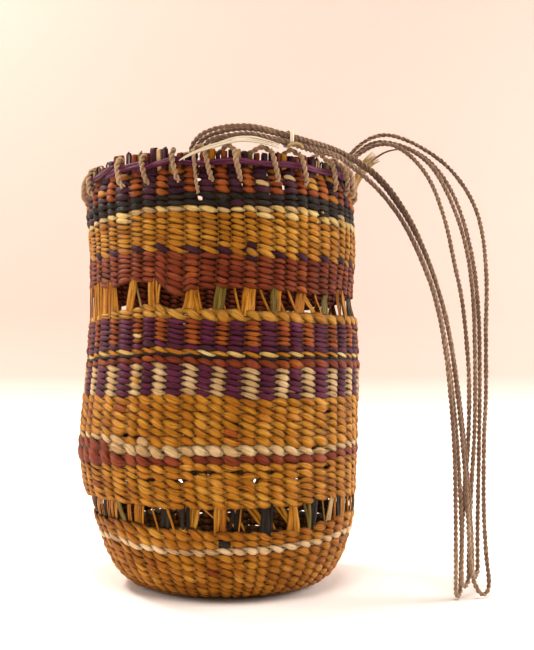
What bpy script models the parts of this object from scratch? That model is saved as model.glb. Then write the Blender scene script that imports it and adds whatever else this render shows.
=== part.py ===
"""A twined dilly bag with two openwork bands, a lashed rim and a long bush-string handle.

Metres, +Z up. The origin is at the bottom centre of the bag, and -Y is its front.
"""

import math

import bmesh
import bpy
from mathutils import Matrix, Vector

MM = 0.001

# The bag, from its resting face to its rim
WALL_THICKNESS = 2.6 * MM
WARP_PAIRS = 32
BUNDLE_WIDTH = 4.6 * MM
MEAN_RADIUS = 80 * MM

# Sections of the wall's outer face, in millimetres: height, radius, lean of its centre along X
BAG_SECTIONS = [
    (0, 50.0, 4.2),
    (4, 60.2, 4.2),
    (13, 67.6, 4.4),
    (25.6, 73.2, 4.2),
    (42, 78.4, 3.3),
    (54.8, 81.3, 1.4),
    (79, 83.2, -0.1),
    (108, 82.6, 1.2),
    (132, 81.7, 2.7),
    (155.5, 80.6, 3.0),
    (168.7, 79.2, 1.8),
    (197, 79.9, 2.5),
    (218, 79.9, 1.6),
    (226, 79.5, 1.2),
    (231, 77.6, 0.9),
    (240, 77.4, 0.9),
]
# The openwork bands, where only the bundles of warps cross: bottom, top
OPENWORK_BANDS = [(42, 54.8), (155.5, 168.7)]

# The purple strand laid round the outside of the rim
RIM_LEAN = 0.9 * MM
RIM_STRAND_RADIUS = 1.35 * MM
RIM_STRAND_RING = 79.25 * MM
RIM_STRAND_HEIGHT = 235 * MM

# The string that lashes the rim
LASHING_TURNS = 28
LASHING_START_DEG = -4.3
LASHING_RADIUS = 1.0 * MM
LASHING_HOLE = (4.4 * MM, 12 * MM, 6 * MM)
LASHING_HOLE_HEIGHT = 223 * MM
LASHING_HOLE_STEP = 0.12
# One turn, in millimetres: part of the step to the next turn, radius, height
LASHING_TURN = [
    (0.00, 76.2, 241.9),
    (0.01, 79.7, 240.9),
    (0.03, 81.9, 236.4),
    (0.06, 81.9, 231.0),
    (0.10, 81.0, 224.8),
    (0.12, 78.4, 222.6),
    (0.12, 75.2, 224.2),
    (0.115, 73.0, 231.0),
    (0.105, 72.9, 240.2),
    (0.14, 74.6, 241.9),
    (0.55, 75.8, 241.9),
]

# The handle: four strands of two-ply string, each from inside the rim at the front, over the
# rim, down to the table, and back up to the inside of the rim at the right. Millimetres.
HANDLE_RADIUS = 1.25 * MM
HANDLE_SPACING = 10 * MM
HANDLE_ROUTES = {
    "handle_strand_1": [
        (-14.7, -71.2, 231),
        (-14.2, -71.1, 243.4),
        (-9.6, -75.4, 249),
        (-3, -77.6, 251.8),
        (5, -78.2, 253.2),
        (18, -77.4, 253.6),
        (37, -72, 250.4),
        (48, -66.5, 248.6),
        (60, -58.2, 247.3),
        (70.5, -49.8, 245),
        (80.4, -44.5, 241),
        (90.5, -42.5, 233.6),
        (101.5, -42, 220),
        (112, -42.5, 201),
        (122, -44, 173.5),
        (129, -46, 143),
        (134.2, -48.9, 95),
        (137.3, -50.9, 50),
        (138.5, -51.5, 24),
        (139.6, -51.4, 14),
        (142.4, -50.8, 6),
        (146.2, -49.6, 2),
        (149.6, -47.6, 4.2),
        (150.5, -45.6, 11),
        (149.4, -44.2, 24),
        (148.4, -43.2, 50),
        (148.6, -43, 87),
        (150.5, -40, 112),
        (152.2, -34, 148),
        (154.7, -26, 181),
        (154, -17, 210),
        (148.4, -9.5, 231),
        (137, -1.5, 249.5),
        (121, 4, 262.6),
        (106, 6, 269),
        (94.6, 6.4, 268.1),
        (84.5, 6.4, 261.6),
        (77.4, 6.4, 252.6),
        (73.7, 6.4, 244.4),
        (73.4, 6.4, 232),
    ],
    "handle_strand_2": [
        (-11.7, -71.7, 231),
        (-11.1, -71.9, 243),
        (-7.4, -72.8, 248.1),
        (-1, -74, 250.8),
        (8, -74.4, 252.6),
        (17, -73.9, 253.1),
        (26, -71.9, 252),
        (35.5, -68.7, 250.4),
        (46, -63.4, 248.7),
        (57.8, -55.3, 247.4),
        (68.4, -46.8, 245.4),
        (78.6, -41, 241.6),
        (89, -39, 234.3),
        (100, -38.4, 221),
        (111, -38.8, 203),
        (121.5, -40, 178),
        (129.5, -42, 146),
        (135.5, -44.8, 100),
        (138.8, -47.2, 60),
        (140.5, -48.2, 30),
        (140.7, -48.3, 15.6),
        (141.5, -47, 12.1),
        (143.3, -44, 10.6),
        (145.1, -41, 12.1),
        (145.9, -39.7, 15.6),
        (146, -39.3, 40),
        (147, -38.8, 87),
        (148.4, -35, 120),
        (149.2, -29.5, 158),
        (147.6, -21, 193),
        (141.4, -11, 225),
        (131, -2.5, 247.4),
        (118.5, 4, 259.4),
        (105, 8.4, 265),
        (95, 9.5, 264.6),
        (85.6, 9.5, 259.2),
        (78.4, 9.5, 251.6),
        (74, 9.5, 244.8),
        (73.2, 9.5, 239.5),
        (73.2, 9.5, 232),
    ],
    "handle_strand_3": [
        (-8.7, -72.2, 231),
        (-8.4, -72.4, 241.6),
        (-6.9, -73.4, 244.2),
        (-4, -75.8, 246.8),
        (4, -77.8, 248.4),
        (16, -77.4, 249.6),
        (28, -74.7, 248),
        (39, -70.6, 246.7),
        (48, -65.6, 245.6),
        (57.5, -59.8, 244.7),
        (66.5, -55, 242.4),
        (73, -51, 238.4),
        (81.5, -48, 232.6),
        (90.5, -46.6, 224.4),
        (101.5, -46.4, 210.2),
        (111.5, -47.4, 190),
        (120, -49.2, 165),
        (126, -51.4, 130),
        (129.6, -53.4, 80),
        (129.8, -55.5, 25),
        (129.7, -55.7, 6.8),
        (130.4, -54.4, 3.3),
        (132.1, -51.3, 1.8),
        (133.8, -48.2, 3.3),
        (134.5, -46.9, 6.8),
        (135.4, -45.4, 28),
        (137.6, -43.2, 60),
        (139.8, -43, 87),
        (140.2, -42.4, 125),
        (137.4, -40, 163),
        (134.6, -35, 184),
        (130.6, -28, 211),
        (124.6, -20.4, 234),
        (116, -13, 250),
        (105.6, -6, 260),
        (96, -1.6, 261.6),
        (87, 0.2, 257.6),
        (79.6, 0.2, 251.2),
        (75, 0.2, 246.6),
        (73.4, 0.2, 242),
        (73.4, 0.2, 232),
    ],
    "handle_strand_4": [
        (-5.7, -72.5, 231),
        (-5.4, -72, 241.4),
        (-4, -71.9, 244.2),
        (-0.5, -73.2, 246.6),
        (6, -74, 248),
        (16, -73.6, 249.1),
        (27, -71.4, 247.9),
        (37.5, -67.3, 246.8),
        (46.3, -62.5, 245.5),
        (55, -56.8, 244.6),
        (64.5, -52, 243.6),
        (72, -47.8, 240.8),
        (80, -44.4, 235.6),
        (91, -42.6, 225.4),
        (102, -42.6, 211),
        (112.5, -43.8, 190.5),
        (121.3, -45.8, 165),
        (127.6, -48.2, 130),
        (131.6, -50.8, 87),
        (133.6, -52.4, 40),
        (133.7, -53, 11.5),
        (134.6, -51.8, 8),
        (136.6, -48.9, 6.5),
        (138.6, -46, 8),
        (139.5, -44.8, 11.5),
        (139.7, -44.8, 30),
        (141, -44.8, 60),
        (142.6, -44.8, 87),
        (143.6, -43.4, 112),
        (144.4, -39.5, 143),
        (145, -34, 166),
        (143.6, -26, 194),
        (138.6, -16.6, 220),
        (129, -7.4, 245),
        (115.6, -0.6, 259),
        (101, 2.7, 264.2),
        (91, 3.3, 262.6),
        (82.6, 3.3, 255.8),
        (77, 3.3, 248.6),
        (74, 3.3, 242.6),
        (73.7, 3.3, 232),
    ],
}

# The pale strip tied round the strands, across their run
TIE_CENTRE = Vector((37.4, -69.6, 248.6)) * MM
TIE_HALF_WIDTH = 4.4 * MM
TIE_HALF_HEIGHT = 4.3 * MM
TIE_RADIUS = 0.7 * MM
TIE_TURN_DEG = -68
TIE_POINTS = 24

# Loose fibre at the rim, in millimetres
LOOSE_FIBRE_SPACING = 4 * MM
PALE_FIBRE_RADIUS = 0.75 * MM
PALE_FIBRE_ROUTE = [
    (-20.3, -79.3, 235.2),
    (-17, -81.2, 236.6),
    (-12, -82.6, 238.6),
    (-6, -82.2, 241.2),
    (2, -81.4, 243.8),
    (10, -80.8, 245.9),
    (18, -79.8, 246.2),
    (25, -78.2, 245.2),
    (32, -76, 243.6),
]
FRAYED_END_RADIUS = 0.8 * MM
FRAYED_END_ROUTE = [
    (82.7, 4, 235),
    (84.2, 4.2, 241),
    (87.5, 4.2, 247.5),
    (91.5, 4, 252.5),
    (96, 3.6, 256),
]

# Name: base colour, roughness
FINISHES = {
    "twined_body": ((0.58, 0.26, 0.04), 0.8),
    "rim_strand": ((0.16, 0.04, 0.09), 0.7),
    "rim_lashing": ((0.43, 0.27, 0.14), 0.9),
    "handle_string": ((0.26, 0.15, 0.08), 0.9),
    "pale_fibre": ((0.79, 0.65, 0.45), 0.85),
}


def clear_scene():
    for thing in list(bpy.data.objects):
        bpy.data.objects.remove(thing)


def new_collection(name):
    collection = bpy.data.collections.new(name)
    bpy.context.scene.collection.children.link(collection)
    return collection


def make_material(name):
    colour, roughness = FINISHES[name]
    material = bpy.data.materials.new(name)
    material.use_nodes = True
    shader = material.node_tree.nodes["Principled BSDF"]
    shader.inputs["Base Color"].default_value = (*colour, 1)
    shader.inputs["Roughness"].default_value = roughness
    shader.inputs["Metallic"].default_value = 0
    return material


def mesh_object(name, bm, collection, material=None):
    mesh = bpy.data.meshes.new(name)
    bm.to_mesh(mesh)
    bm.free()
    thing = bpy.data.objects.new(name, mesh)
    collection.objects.link(thing)
    if material:
        mesh.materials.append(material)
    return thing


def string_tube(name, points, radius, collection, material, sides=8, cyclic=False):
    curve = bpy.data.curves.new(name, "CURVE")
    curve.dimensions = "3D"
    spline = curve.splines.new("POLY")
    spline.points.add(len(points) - 1)
    for place, point in zip(spline.points, points):
        place.co = (*point, 1)
    spline.use_cyclic_u = cyclic
    curve.bevel_depth = radius
    curve.bevel_resolution = (sides - 4) // 2
    curve.use_fill_caps = not cyclic
    curve.materials.append(material)
    thing = bpy.data.objects.new(name, curve)
    collection.objects.link(thing)
    return thing


def smooth_route(route_mm, spacing):
    """The route's own points, with more on the Catmull-Rom curve between those far apart."""
    knots = [Vector(point) * MM for point in route_mm]
    knots = [2 * knots[0] - knots[1], *knots, 2 * knots[-1] - knots[-2]]
    points = []
    for before, start, end, after in zip(knots, knots[1:], knots[2:], knots[3:]):
        parts = max(1, round((end - start).length / spacing))
        for part in range(parts):
            t = part / parts
            bend = (2 * before - 5 * start + 4 * end - after) * t**2
            twist = (3 * start - before - 3 * end + after) * t**3
            points.append((2 * start + (end - before) * t + bend + twist) / 2)
    points.append(knots[-2])
    return points


def at_angle(angle, radius, height, lean):
    """A point round the bag, with the angle in radians from the front towards the right."""
    return Vector((lean + radius * math.sin(angle), -radius * math.cos(angle), height))


def column_angles():
    """The edges of the bundles of warps: a narrow column, then a wide one, round the bag."""
    half_bundle = BUNDLE_WIDTH / MEAN_RADIUS / 2
    step = math.tau / WARP_PAIRS
    return [step * pair + side * half_bundle for pair in range(WARP_PAIRS) for side in (-1, 1)]


def make_body(collection, cutters, material):
    """One twined wall and base. The wide columns are left out in the openwork bands."""
    bm = bmesh.new()
    angles = column_angles()
    rings = [
        [bm.verts.new(at_angle(a, radius * MM, height * MM, lean * MM)) for a in angles]
        for height, radius, lean in BAG_SECTIONS
    ]
    bm.faces.new(reversed(rings[0]))
    for (low, *_), (high, *_), ring, above in zip(
        BAG_SECTIONS, BAG_SECTIONS[1:], rings, rings[1:]
    ):
        for column in range(len(angles)):
            if (low, high) in OPENWORK_BANDS and column % 2 == 1:
                continue
            beside = (column + 1) % len(angles)
            bm.faces.new((ring[column], ring[beside], above[beside], above[column]))
    body = mesh_object("twined_body", bm, collection, material)

    wall = body.modifiers.new("Wall", "SOLIDIFY")
    wall.thickness = WALL_THICKNESS
    wall.offset = -1
    wall.use_even_offset = True

    holes = body.modifiers.new("Lashing holes", "BOOLEAN")
    holes.operation = "DIFFERENCE"
    holes.solver = "EXACT"
    holes.object = make_hole_cutter(cutters)
    body.data.shade_smooth()
    body.data.set_sharp_from_angle(angle=math.radians(40))
    return body


def make_hole_cutter(cutters):
    """A small slot through the wall for each turn of the lashing."""
    bm = bmesh.new()
    for turn in range(LASHING_TURNS):
        angle = lashing_angle(turn + LASHING_HOLE_STEP)
        place = Matrix.Translation(at_angle(angle, 78.4 * MM, LASHING_HOLE_HEIGHT, RIM_LEAN))
        turned = Matrix.Rotation(angle, 4, "Z")
        sized = Matrix.Diagonal((*LASHING_HOLE, 1))
        bmesh.ops.create_cube(bm, size=1, matrix=place @ turned @ sized)
    cutter = mesh_object("lashing_hole_cutter", bm, cutters)
    cutter.hide_render = True
    cutter.display_type = "WIRE"
    return cutter


def lashing_angle(turn):
    return math.radians(LASHING_START_DEG) + turn * math.tau / LASHING_TURNS


def make_lashing(collection, material):
    """Each turn goes down over the rim, in through its hole, up inside, and along the top."""
    points = [
        at_angle(lashing_angle(turn + part), radius * MM, height * MM, RIM_LEAN)
        for turn in range(LASHING_TURNS)
        for part, radius, height in LASHING_TURN
    ]
    string_tube(
        "rim_lashing", points, LASHING_RADIUS, collection, material, sides=4, cyclic=True
    )


def make_rim_strand(collection, material):
    steps = 2 * WARP_PAIRS
    points = [
        at_angle(math.tau * step / steps, RIM_STRAND_RING, RIM_STRAND_HEIGHT, RIM_LEAN)
        for step in range(steps)
    ]
    string_tube(
        "rim_strand", points, RIM_STRAND_RADIUS, collection, material, sides=6, cyclic=True
    )


def make_tie(collection, material):
    """A thin strip round all four strands: a rounded square in the plane across their run."""
    turned = Matrix.Rotation(math.radians(TIE_TURN_DEG), 3, "Z")
    points = []
    for step in range(TIE_POINTS):
        angle = math.tau * step / TIE_POINTS
        sideways = math.copysign(math.sqrt(abs(math.cos(angle))), math.cos(angle))
        upwards = math.copysign(math.sqrt(abs(math.sin(angle))), math.sin(angle))
        across = Vector((TIE_HALF_WIDTH * sideways, 0, TIE_HALF_HEIGHT * upwards))
        points.append(TIE_CENTRE + turned @ across)
    string_tube("handle_tie", points, TIE_RADIUS, collection, material, sides=6, cyclic=True)


def main():
    clear_scene()
    bag = new_collection("Dilly bag")
    cutters = new_collection("Cutters")
    finishes = {name: make_material(name) for name in FINISHES}

    make_body(bag, cutters, finishes["twined_body"])
    make_rim_strand(bag, finishes["rim_strand"])
    make_lashing(bag, finishes["rim_lashing"])
    for name, route in HANDLE_ROUTES.items():
        points = smooth_route(route, HANDLE_SPACING)
        string_tube(name, points, HANDLE_RADIUS, bag, finishes["handle_string"])
    make_tie(bag, finishes["pale_fibre"])
    string_tube(
        "pale_fibre",
        smooth_route(PALE_FIBRE_ROUTE, LOOSE_FIBRE_SPACING),
        PALE_FIBRE_RADIUS,
        bag,
        finishes["pale_fibre"],
        sides=6,
    )
    string_tube(
        "frayed_end",
        smooth_route(FRAYED_END_ROUTE, LOOSE_FIBRE_SPACING),
        FRAYED_END_RADIUS,
        bag,
        finishes["pale_fibre"],
        sides=6,
    )


main()
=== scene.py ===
"""A twined dilly bag of dyed leaf strip, with two openwork bands, a lashed rim and a string handle.

Metres, +Z up, -Y is the front. Angles go round the bag from the front towards the right.
"""

import math
from bisect import bisect_right
from functools import partial

import bpy
from mathutils import Matrix, Vector


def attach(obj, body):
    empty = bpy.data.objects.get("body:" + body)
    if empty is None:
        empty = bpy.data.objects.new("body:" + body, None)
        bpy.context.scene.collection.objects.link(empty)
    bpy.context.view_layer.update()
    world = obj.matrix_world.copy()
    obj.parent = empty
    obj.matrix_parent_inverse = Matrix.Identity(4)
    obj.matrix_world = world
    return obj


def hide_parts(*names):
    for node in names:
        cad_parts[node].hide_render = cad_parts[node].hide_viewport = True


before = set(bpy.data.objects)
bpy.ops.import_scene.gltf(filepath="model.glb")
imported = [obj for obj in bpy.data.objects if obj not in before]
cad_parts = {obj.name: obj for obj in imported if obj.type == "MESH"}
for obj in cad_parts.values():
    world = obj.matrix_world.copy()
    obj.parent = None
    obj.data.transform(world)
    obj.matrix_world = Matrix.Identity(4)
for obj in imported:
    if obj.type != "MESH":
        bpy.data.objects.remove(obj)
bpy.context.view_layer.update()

MM = 0.001

# Camera: a level view with the photograph's framing. Its frame, focal length and the point
# straight ahead are in pixels, its sensor in millimetres.
PHOTO_WIDTH = 534
PHOTO_HEIGHT = 650
PHOTO_FOCAL = 965
PHOTO_CENTRE = (218, 372)
EYE = Vector((0, -582, 125)) * MM
SENSOR = 36

# Studio
FLOOR_COLOUR = "F2EFEC"
WALL_COLOUR = "B8A69D"
SWEEP_START = 0.62
SWEEP_RADIUS = 0.22
SWEEP_STEPS = 16
FLOOR_FRONT = -1.5
FLOOR_HALF_WIDTH = 2.5
WALL_TOP = 2.4
SKY_COLOUR = "FFF4EA"
SKY_STRENGTH = 0.35
# Lights: name, place, size, power, colour. They all face the middle of the bag and its handle.
LIGHTS = [
    ("key_light", (-0.8, 0.5, 1.2), 0.3, 20, "FFF4E8"),
    ("left_light", (-1.25, 0.1, 0.5), 0.7, 9, "FFF6EE"),
    ("right_light", (1.25, 0.2, 0.5), 0.7, 22, "FFF8F2"),
    ("top_light", (0.0, -0.75, 1.7), 0.7, 23, "FFF6EE"),
]
LIT_PLACE = Vector((0.03, 0, 0.12))

# The bag's outer face, in millimetres: height, radius, lean of its centre along X
BAG_SECTIONS = [
    (0, 50.0, 4.2),
    (4, 60.2, 4.2),
    (13, 67.6, 4.4),
    (25.6, 73.2, 4.2),
    (42, 78.4, 3.3),
    (54.8, 81.3, 1.4),
    (79, 83.2, -0.1),
    (108, 82.6, 1.2),
    (132, 81.7, 2.7),
    (155.5, 80.6, 3.0),
    (168.7, 79.2, 1.8),
    (197, 79.9, 2.5),
    (218, 79.9, 1.6),
    (226, 79.5, 1.2),
    (231, 77.6, 0.9),
    (240, 77.4, 0.9),
]
OUTLINE_SPACING = 2 * MM

# Twining. The insets are from the outer face to the middle of the wall.
WARPS = 64
POINTS_PER_STITCH = 5
WALL_INSET = 1.7 * MM
BASE_INSET = 2.5 * MM
BASE_INSET_TOP = 20 * MM
TWINING_SIZES = {
    "Fullness": 0.56,
    "Flatness": 0.44,
    "Swing": 0.9 * MM,
    "Climb": -0.25,
    "Unevenness": 0.75,
    "Seed": 3,
}

# Bands of rows from the bottom of the wall to the rim: rows, height of the top edge in
# millimetres, dyes of the two strands, dye of the odd stitch and its share, how steeply the
# stitches slant, piece the band is in. A band with no rows is openwork.
BANDS = [
    (9, 29.2, "brown_ochre", "brown_ochre", "ochre", 0.15, 1.6, "twined_foot"),
    (1, 33.4, "pale_cream", "pale_cream", "pale_ochre", 0.0, 1.3, "twined_foot"),
    (2, 42.0, "brown_ochre", "brown_ochre", "ochre", 0.2, 1.4, "twined_foot"),
    (0, 54.6, "", "", "", 0, 0, "lower_openwork"),
    (6, 76.9, "ochre", "ochre", "brown_ochre", 0.15, 1.4, "twined_belly"),
    (1, 81.8, "terracotta", "terracotta", "brown_ochre", 0.03, 1.1, "twined_belly"),
    (1, 86.9, "cream", "cream", "pale_ochre", 0.0, 1.3, "twined_belly"),
    (1, 91.1, "ochre", "ochre", "brown_ochre", 0.15, 1.3, "twined_belly"),
    (5, 112.0, "ochre", "ochre", "brown_ochre", 0.08, 1.35, "twined_belly"),
    (5, 129.7, "cream", "purple", "pale_ochre", 0.0, 1.0, "twined_waist"),
    (1, 133.2, "terracotta", "terracotta", "orange_rust", 0.3, 0.95, "twined_waist"),
    (1, 135.3, "charcoal", "charcoal", "dark_purple", 0.3, 1.1, "twined_waist"),
    (1, 138.3, "ochre", "pale_ochre", "brown_ochre", 0.2, 1.4, "twined_waist"),
    (1, 141.1, "purple", "purple", "dark_purple", 0.3, 0.8, "twined_waist"),
    (5, 152.2, "orange_rust", "purple", "brown_ochre", 0.02, 0.8, "twined_waist"),
    (1, 156.3, "golden", "golden", "pale_ochre", 0.0, 1.2, "twined_waist"),
    (0, 168.7, "", "", "", 0, 0, "upper_openwork"),
    (6, 187.0, "terracotta", "terracotta", "orange_rust", 0.06, 0.9, "twined_chest"),
    (1, 190.5, "dark_purple", "ochre", "ochre", 0.05, 1.3, "twined_chest"),
    (5, 204.5, "ochre", "ochre", "golden", 0.05, 1.1, "twined_chest"),
    (1, 208.0, "ochre", "ochre", "pale_ochre", 0.05, 1.0, "twined_chest"),
    (1, 211.2, "pale_ochre", "pale_ochre", "cream", 0.4, 0.9, "twined_chest"),
    (2, 217.8, "charcoal", "charcoal", "dark_purple", 0.08, 0.65, "twined_neck"),
    (4, 233.2, "orange_rust", "dark_purple", "brown_ochre", 0.05, 0.55, "twined_neck"),
]
# Bands that change on their way round, by their top edge: from and to in degrees, rows and dyes
ARCS = {
    86.9: [(-43.6, 130, 1, "cream"), (130, 316.4, 1, "terracotta")],
    91.1: [(-35.4, 140, 1, "ochre"), (140, 324.6, 1, "cream")],
    156.3: [(-20.5, 265, 1, "golden"), (265, 339.5, 2, "golden")],
    208.0: [(-220, 44, 1, "ochre"), (44, 140, 1, "pale_ochre")],
    211.2: [(-220, 44, 1, "pale_ochre"), (44, 140, 1, "charcoal")],
}
# How far edges between two bands are pulled up or down: angles in degrees, then each edge's
# height and its pulls at those angles, in millimetres
EDGE_PULLS = [
    ((-70, -50, -35, -20, 0, 16, 35, 53, 70, 90), {
        29.2: (0, 0.9, -1.2, -2.4, -1.4, -0.8, 0.5, 2.3, 1.5, 0),
        33.4: (0, 0.9, -1.5, -2.9, -1.6, -1, 0.5, 2.3, 1.5, 0),
    }),
    ((-60, -40, -28, -20, 0, 16, 30, 42, 53, 75, 90), {
        42.0: (0, 1, -1.2, -0.5, -1.9, -2.5, -1.4, 0.5, 3, 0.5, 0),
    }),
    ((-60, -40, -28, -20, -10, 0, 25, 45, 60), {
        54.6: (0, 0.5, -0.6, -1.6, -1.2, -0.8, -0.6, 1, 0),
    }),
    ((-90, -57, -40, -20, -5, 42, 54, 90, 140), {
        76.9: (-1.5, -2.5, -1.9, -1, 0, -0.2, 1, 0.3, 0),
    }),
    ((-90, -52, -40, -20, -5, 13, 31, 42, 52, 68, 140), {
        81.8: (0, 0.8, -0.6, -1.4, -0.3, 0, -0.9, -0.5, 0.6, 0.8, 0),
    }),
    ((-90, -52, -40, -20, -5, 13, 31, 42, 54, 90, 140), {
        86.9: (0, 1.2, -0.3, -1.2, -0.2, 0, -1.4, -1.5, -0.9, -0.5, 0),
    }),
    ((-60, -40, -22, -11, 3, 12, 26, 52, 80), {
        112.0: (0, -0.3, 1, 0.9, 0.2, -1.3, -1.2, -0.9, 0),
    }),
    ((-90, -62, -50, -38, -25, -13, -2, 14, 41, 59, 90, 130), {
        129.7: (-1.2, -1.6, -0.9, -0.4, 0.7, -0.3, -1.8, -3, -2.4, -2.6, -1.5, 0),
        133.2: (-1.5, -2.1, -0.9, -0.3, 0.8, -0.6, -1.6, -2.3, -1.2, -1.4, -1.2, 0),
        135.3: (-1.8, -2.6, -1.3, -0.8, 0.4, -1, -2.1, -2.7, -1.8, -2.2, -1.6, 0),
        138.3: (-2, -3, -1.7, -1.3, 0.2, -1.4, -2.7, -3.1, -2.4, -2.9, -2, 0),
        141.1: (-1.8, -2.4, -1.7, -0.8, 0.8, -1.5, -2.3, -2.7, -2.6, -2.1, -1.5, 0),
        152.2: (0.8, 1.6, 2.2, 1.5, 2, 0.7, -0.7, -0.4, -1, 0, 0, 0),
    }),
    ((-80, -60, -45, -37, -29, -23, -18.5, -5, 12, 60), {
        156.3: (0, 0.5, 1.6, 2.5, 5, 4.4, 1.4, 1, 0, 0),
    }),
    ((-180.1, -174, -166, -156.5, -148, -126, -120, -112, -98, -75, -60, -45, -37, -30, -25, -23,
      -18, -13.6, -11.5, -5, 20, 40, 60, 98, 106, 114, 124, 132, 166, 173, 180.1), {
        168.7: (-2.8, -1, -2.8, -0.6, -2.8, -2.8, -0.5, -1, 1, 2.5, 4, 2.5, 5, 4, 4.2, 3,
                -2, -4, -1, 0, -0.3, -1.4, 0, 0, -0.5, -2.8, -1, -2.8, -2.6, -0.8, -2.8),
    }),
    ((-100, -55, -25, -10, 10, 25, 60, 120), {
        187.0: (0, 1.8, 1.8, 0.2, -1, -2.4, -2, 0),
        190.5: (0, 1.8, 1.8, 0.2, -1, -2.4, -2, 0),
    }),
    ((-90, -62, -50, -39, -30, -12, -3, 14, 30, 40, 48, 75, 110), {
        204.5: (-1, -1.4, 0.2, 0.7, 1.5, 1.2, 0, 0.8, 0.9, 0.4, 1.2, 1, 0),
        208.0: (-1, -1.5, 0.2, 0.7, 1.5, 1.2, 0, 0.8, 1.2, 0.4, 2, 2, 0),
    }),
    ((-90, -62, -50, -39, -30, -12, -3, 1, 12, 24, 32, 42, 48, 75, 110), {
        211.2: (-1, -1.6, 0.1, 0.7, 1.5, 1.2, 0, -0.6, 0.8, 1.4, 1.5, 0.8, 2, 2, 0),
    }),
    ((-90, -62, -50, -38, -30, -21, -12, 3, 20, 32, 42, 52, 75, 110), {
        217.8: (0, 1.2, 1.2, 0.5, 1.6, 0.5, 1.4, 0.6, 1, 1.6, 1.4, 0.6, 0.8, 0),
    }),
]
# How far the warps stand from even angles where the weave is looser: from and by, in degrees
WARP_SHIFTS = [
    (-180.1, 0), (-120, -9), (-66, -12), (-55, -7.3), (-44, -3.8), (-33, -1.2), (-21, -1),
    (-10, -0.3), (12, -0.5), (24, 0.3), (35, 1.3), (46, 4.2), (57, 8.5), (69, 12), (120, 8),
    (180.1, 0),
]
# Stitches and warps parted by a hole: degrees, height, half the hole's height in millimetres
HOLES = [
    (-24.8, 68, 1.3), (-15.5, 67.6, 1.6), (-8.5, 72.2, 1.6), (-1.2, 72.2, 1.5), (8.9, 72.2, 1.6),
    (15.5, 67.4, 1.9), (17.5, 72, 1.2), (31.5, 68.5, 1.0), (-36.5, 91.4, 1.6), (-31, 90, 1.3),
    (36.5, 84, 1.2), (48, 104, 1.1), (8.4, 25, 1.0), (-42, 20, 1.3), (30.9, 74, 1.0),
    (48, 72.5, 1.2), (-8.3, 226.5, 1.1), (-8, 217, 1.0), (7.6, 224, 0.9), (25, 223, 0.9),
]
# How far a row wavers from a true circle
ROW_WAVER = (2.2 * MM, 2.2 * MM, 1.2 * MM)
# How far a hole parts the strands and the warps: radians round the bag, metres up it
HOLE_WIDTH = 0.0425
HOLE_HEIGHT = 3.4 * MM
PUSH_HEIGHT = 3 * MM
WARP_PUSH_WIDTH = 0.09
WARP_PUSH_HEIGHT = 4 * MM
# How many of those widths the push on a warp reaches, and the push for each millimetre of half
WARP_PUSH_REACH = 0.2 / WARP_PUSH_WIDTH
WARP_PUSH = 0.014

# Single stitches of another dye, mends and joins among them: degrees, height in millimetres, and
# the dye's number in the list, from 1
MEND_DYES = ["cream", "pale_ochre", "dark_purple", "charcoal", "orange_rust", "golden"]
MENDED_STITCHES = [
    (31, 228.7, 1), (19, 223.7, 1), (37.3, 229.2, 6), (37.3, 226, 6), (37.3, 222.7, 5),
    (56, 231.9, 6), (-35.5, 144.1, 2), (-33, 120.7, 6), (-10, 179.4, 5), (-10, 175.3, 5),
    (12.7, 192.5, 3), (9, 189, 6), (12, 188.6, 3), (12, 185.2, 3), (16, 189, 6),
    (-29.2, 88.9, 1), (1.8, 35.6, 4), (21.3, 93.5, 6), (34, 93.5, 6), (39.5, 93.5, 6),
    (-39.5, 104.2, 5), (-64, 101, 5), (-58, 64, 5), (-62, 60, 5), (6.6, 93.9, 5), (-7.5, 17, 5),
]

# The warps' strips: heights in millimetres where a stretch begins and ends, width in millimetres
WARP_STRETCHES = [(0, 41, 2.7), (56, 154, 4.6), (175, 236, 4.6)]
WARP_SPACING = 4 * MM
WARP_INSET = 0.3 * MM
# New warps are let in as the base grows: where each of four begins, from its centre
WARP_STARTS_MM = (3, 36, 18, 36)

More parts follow.
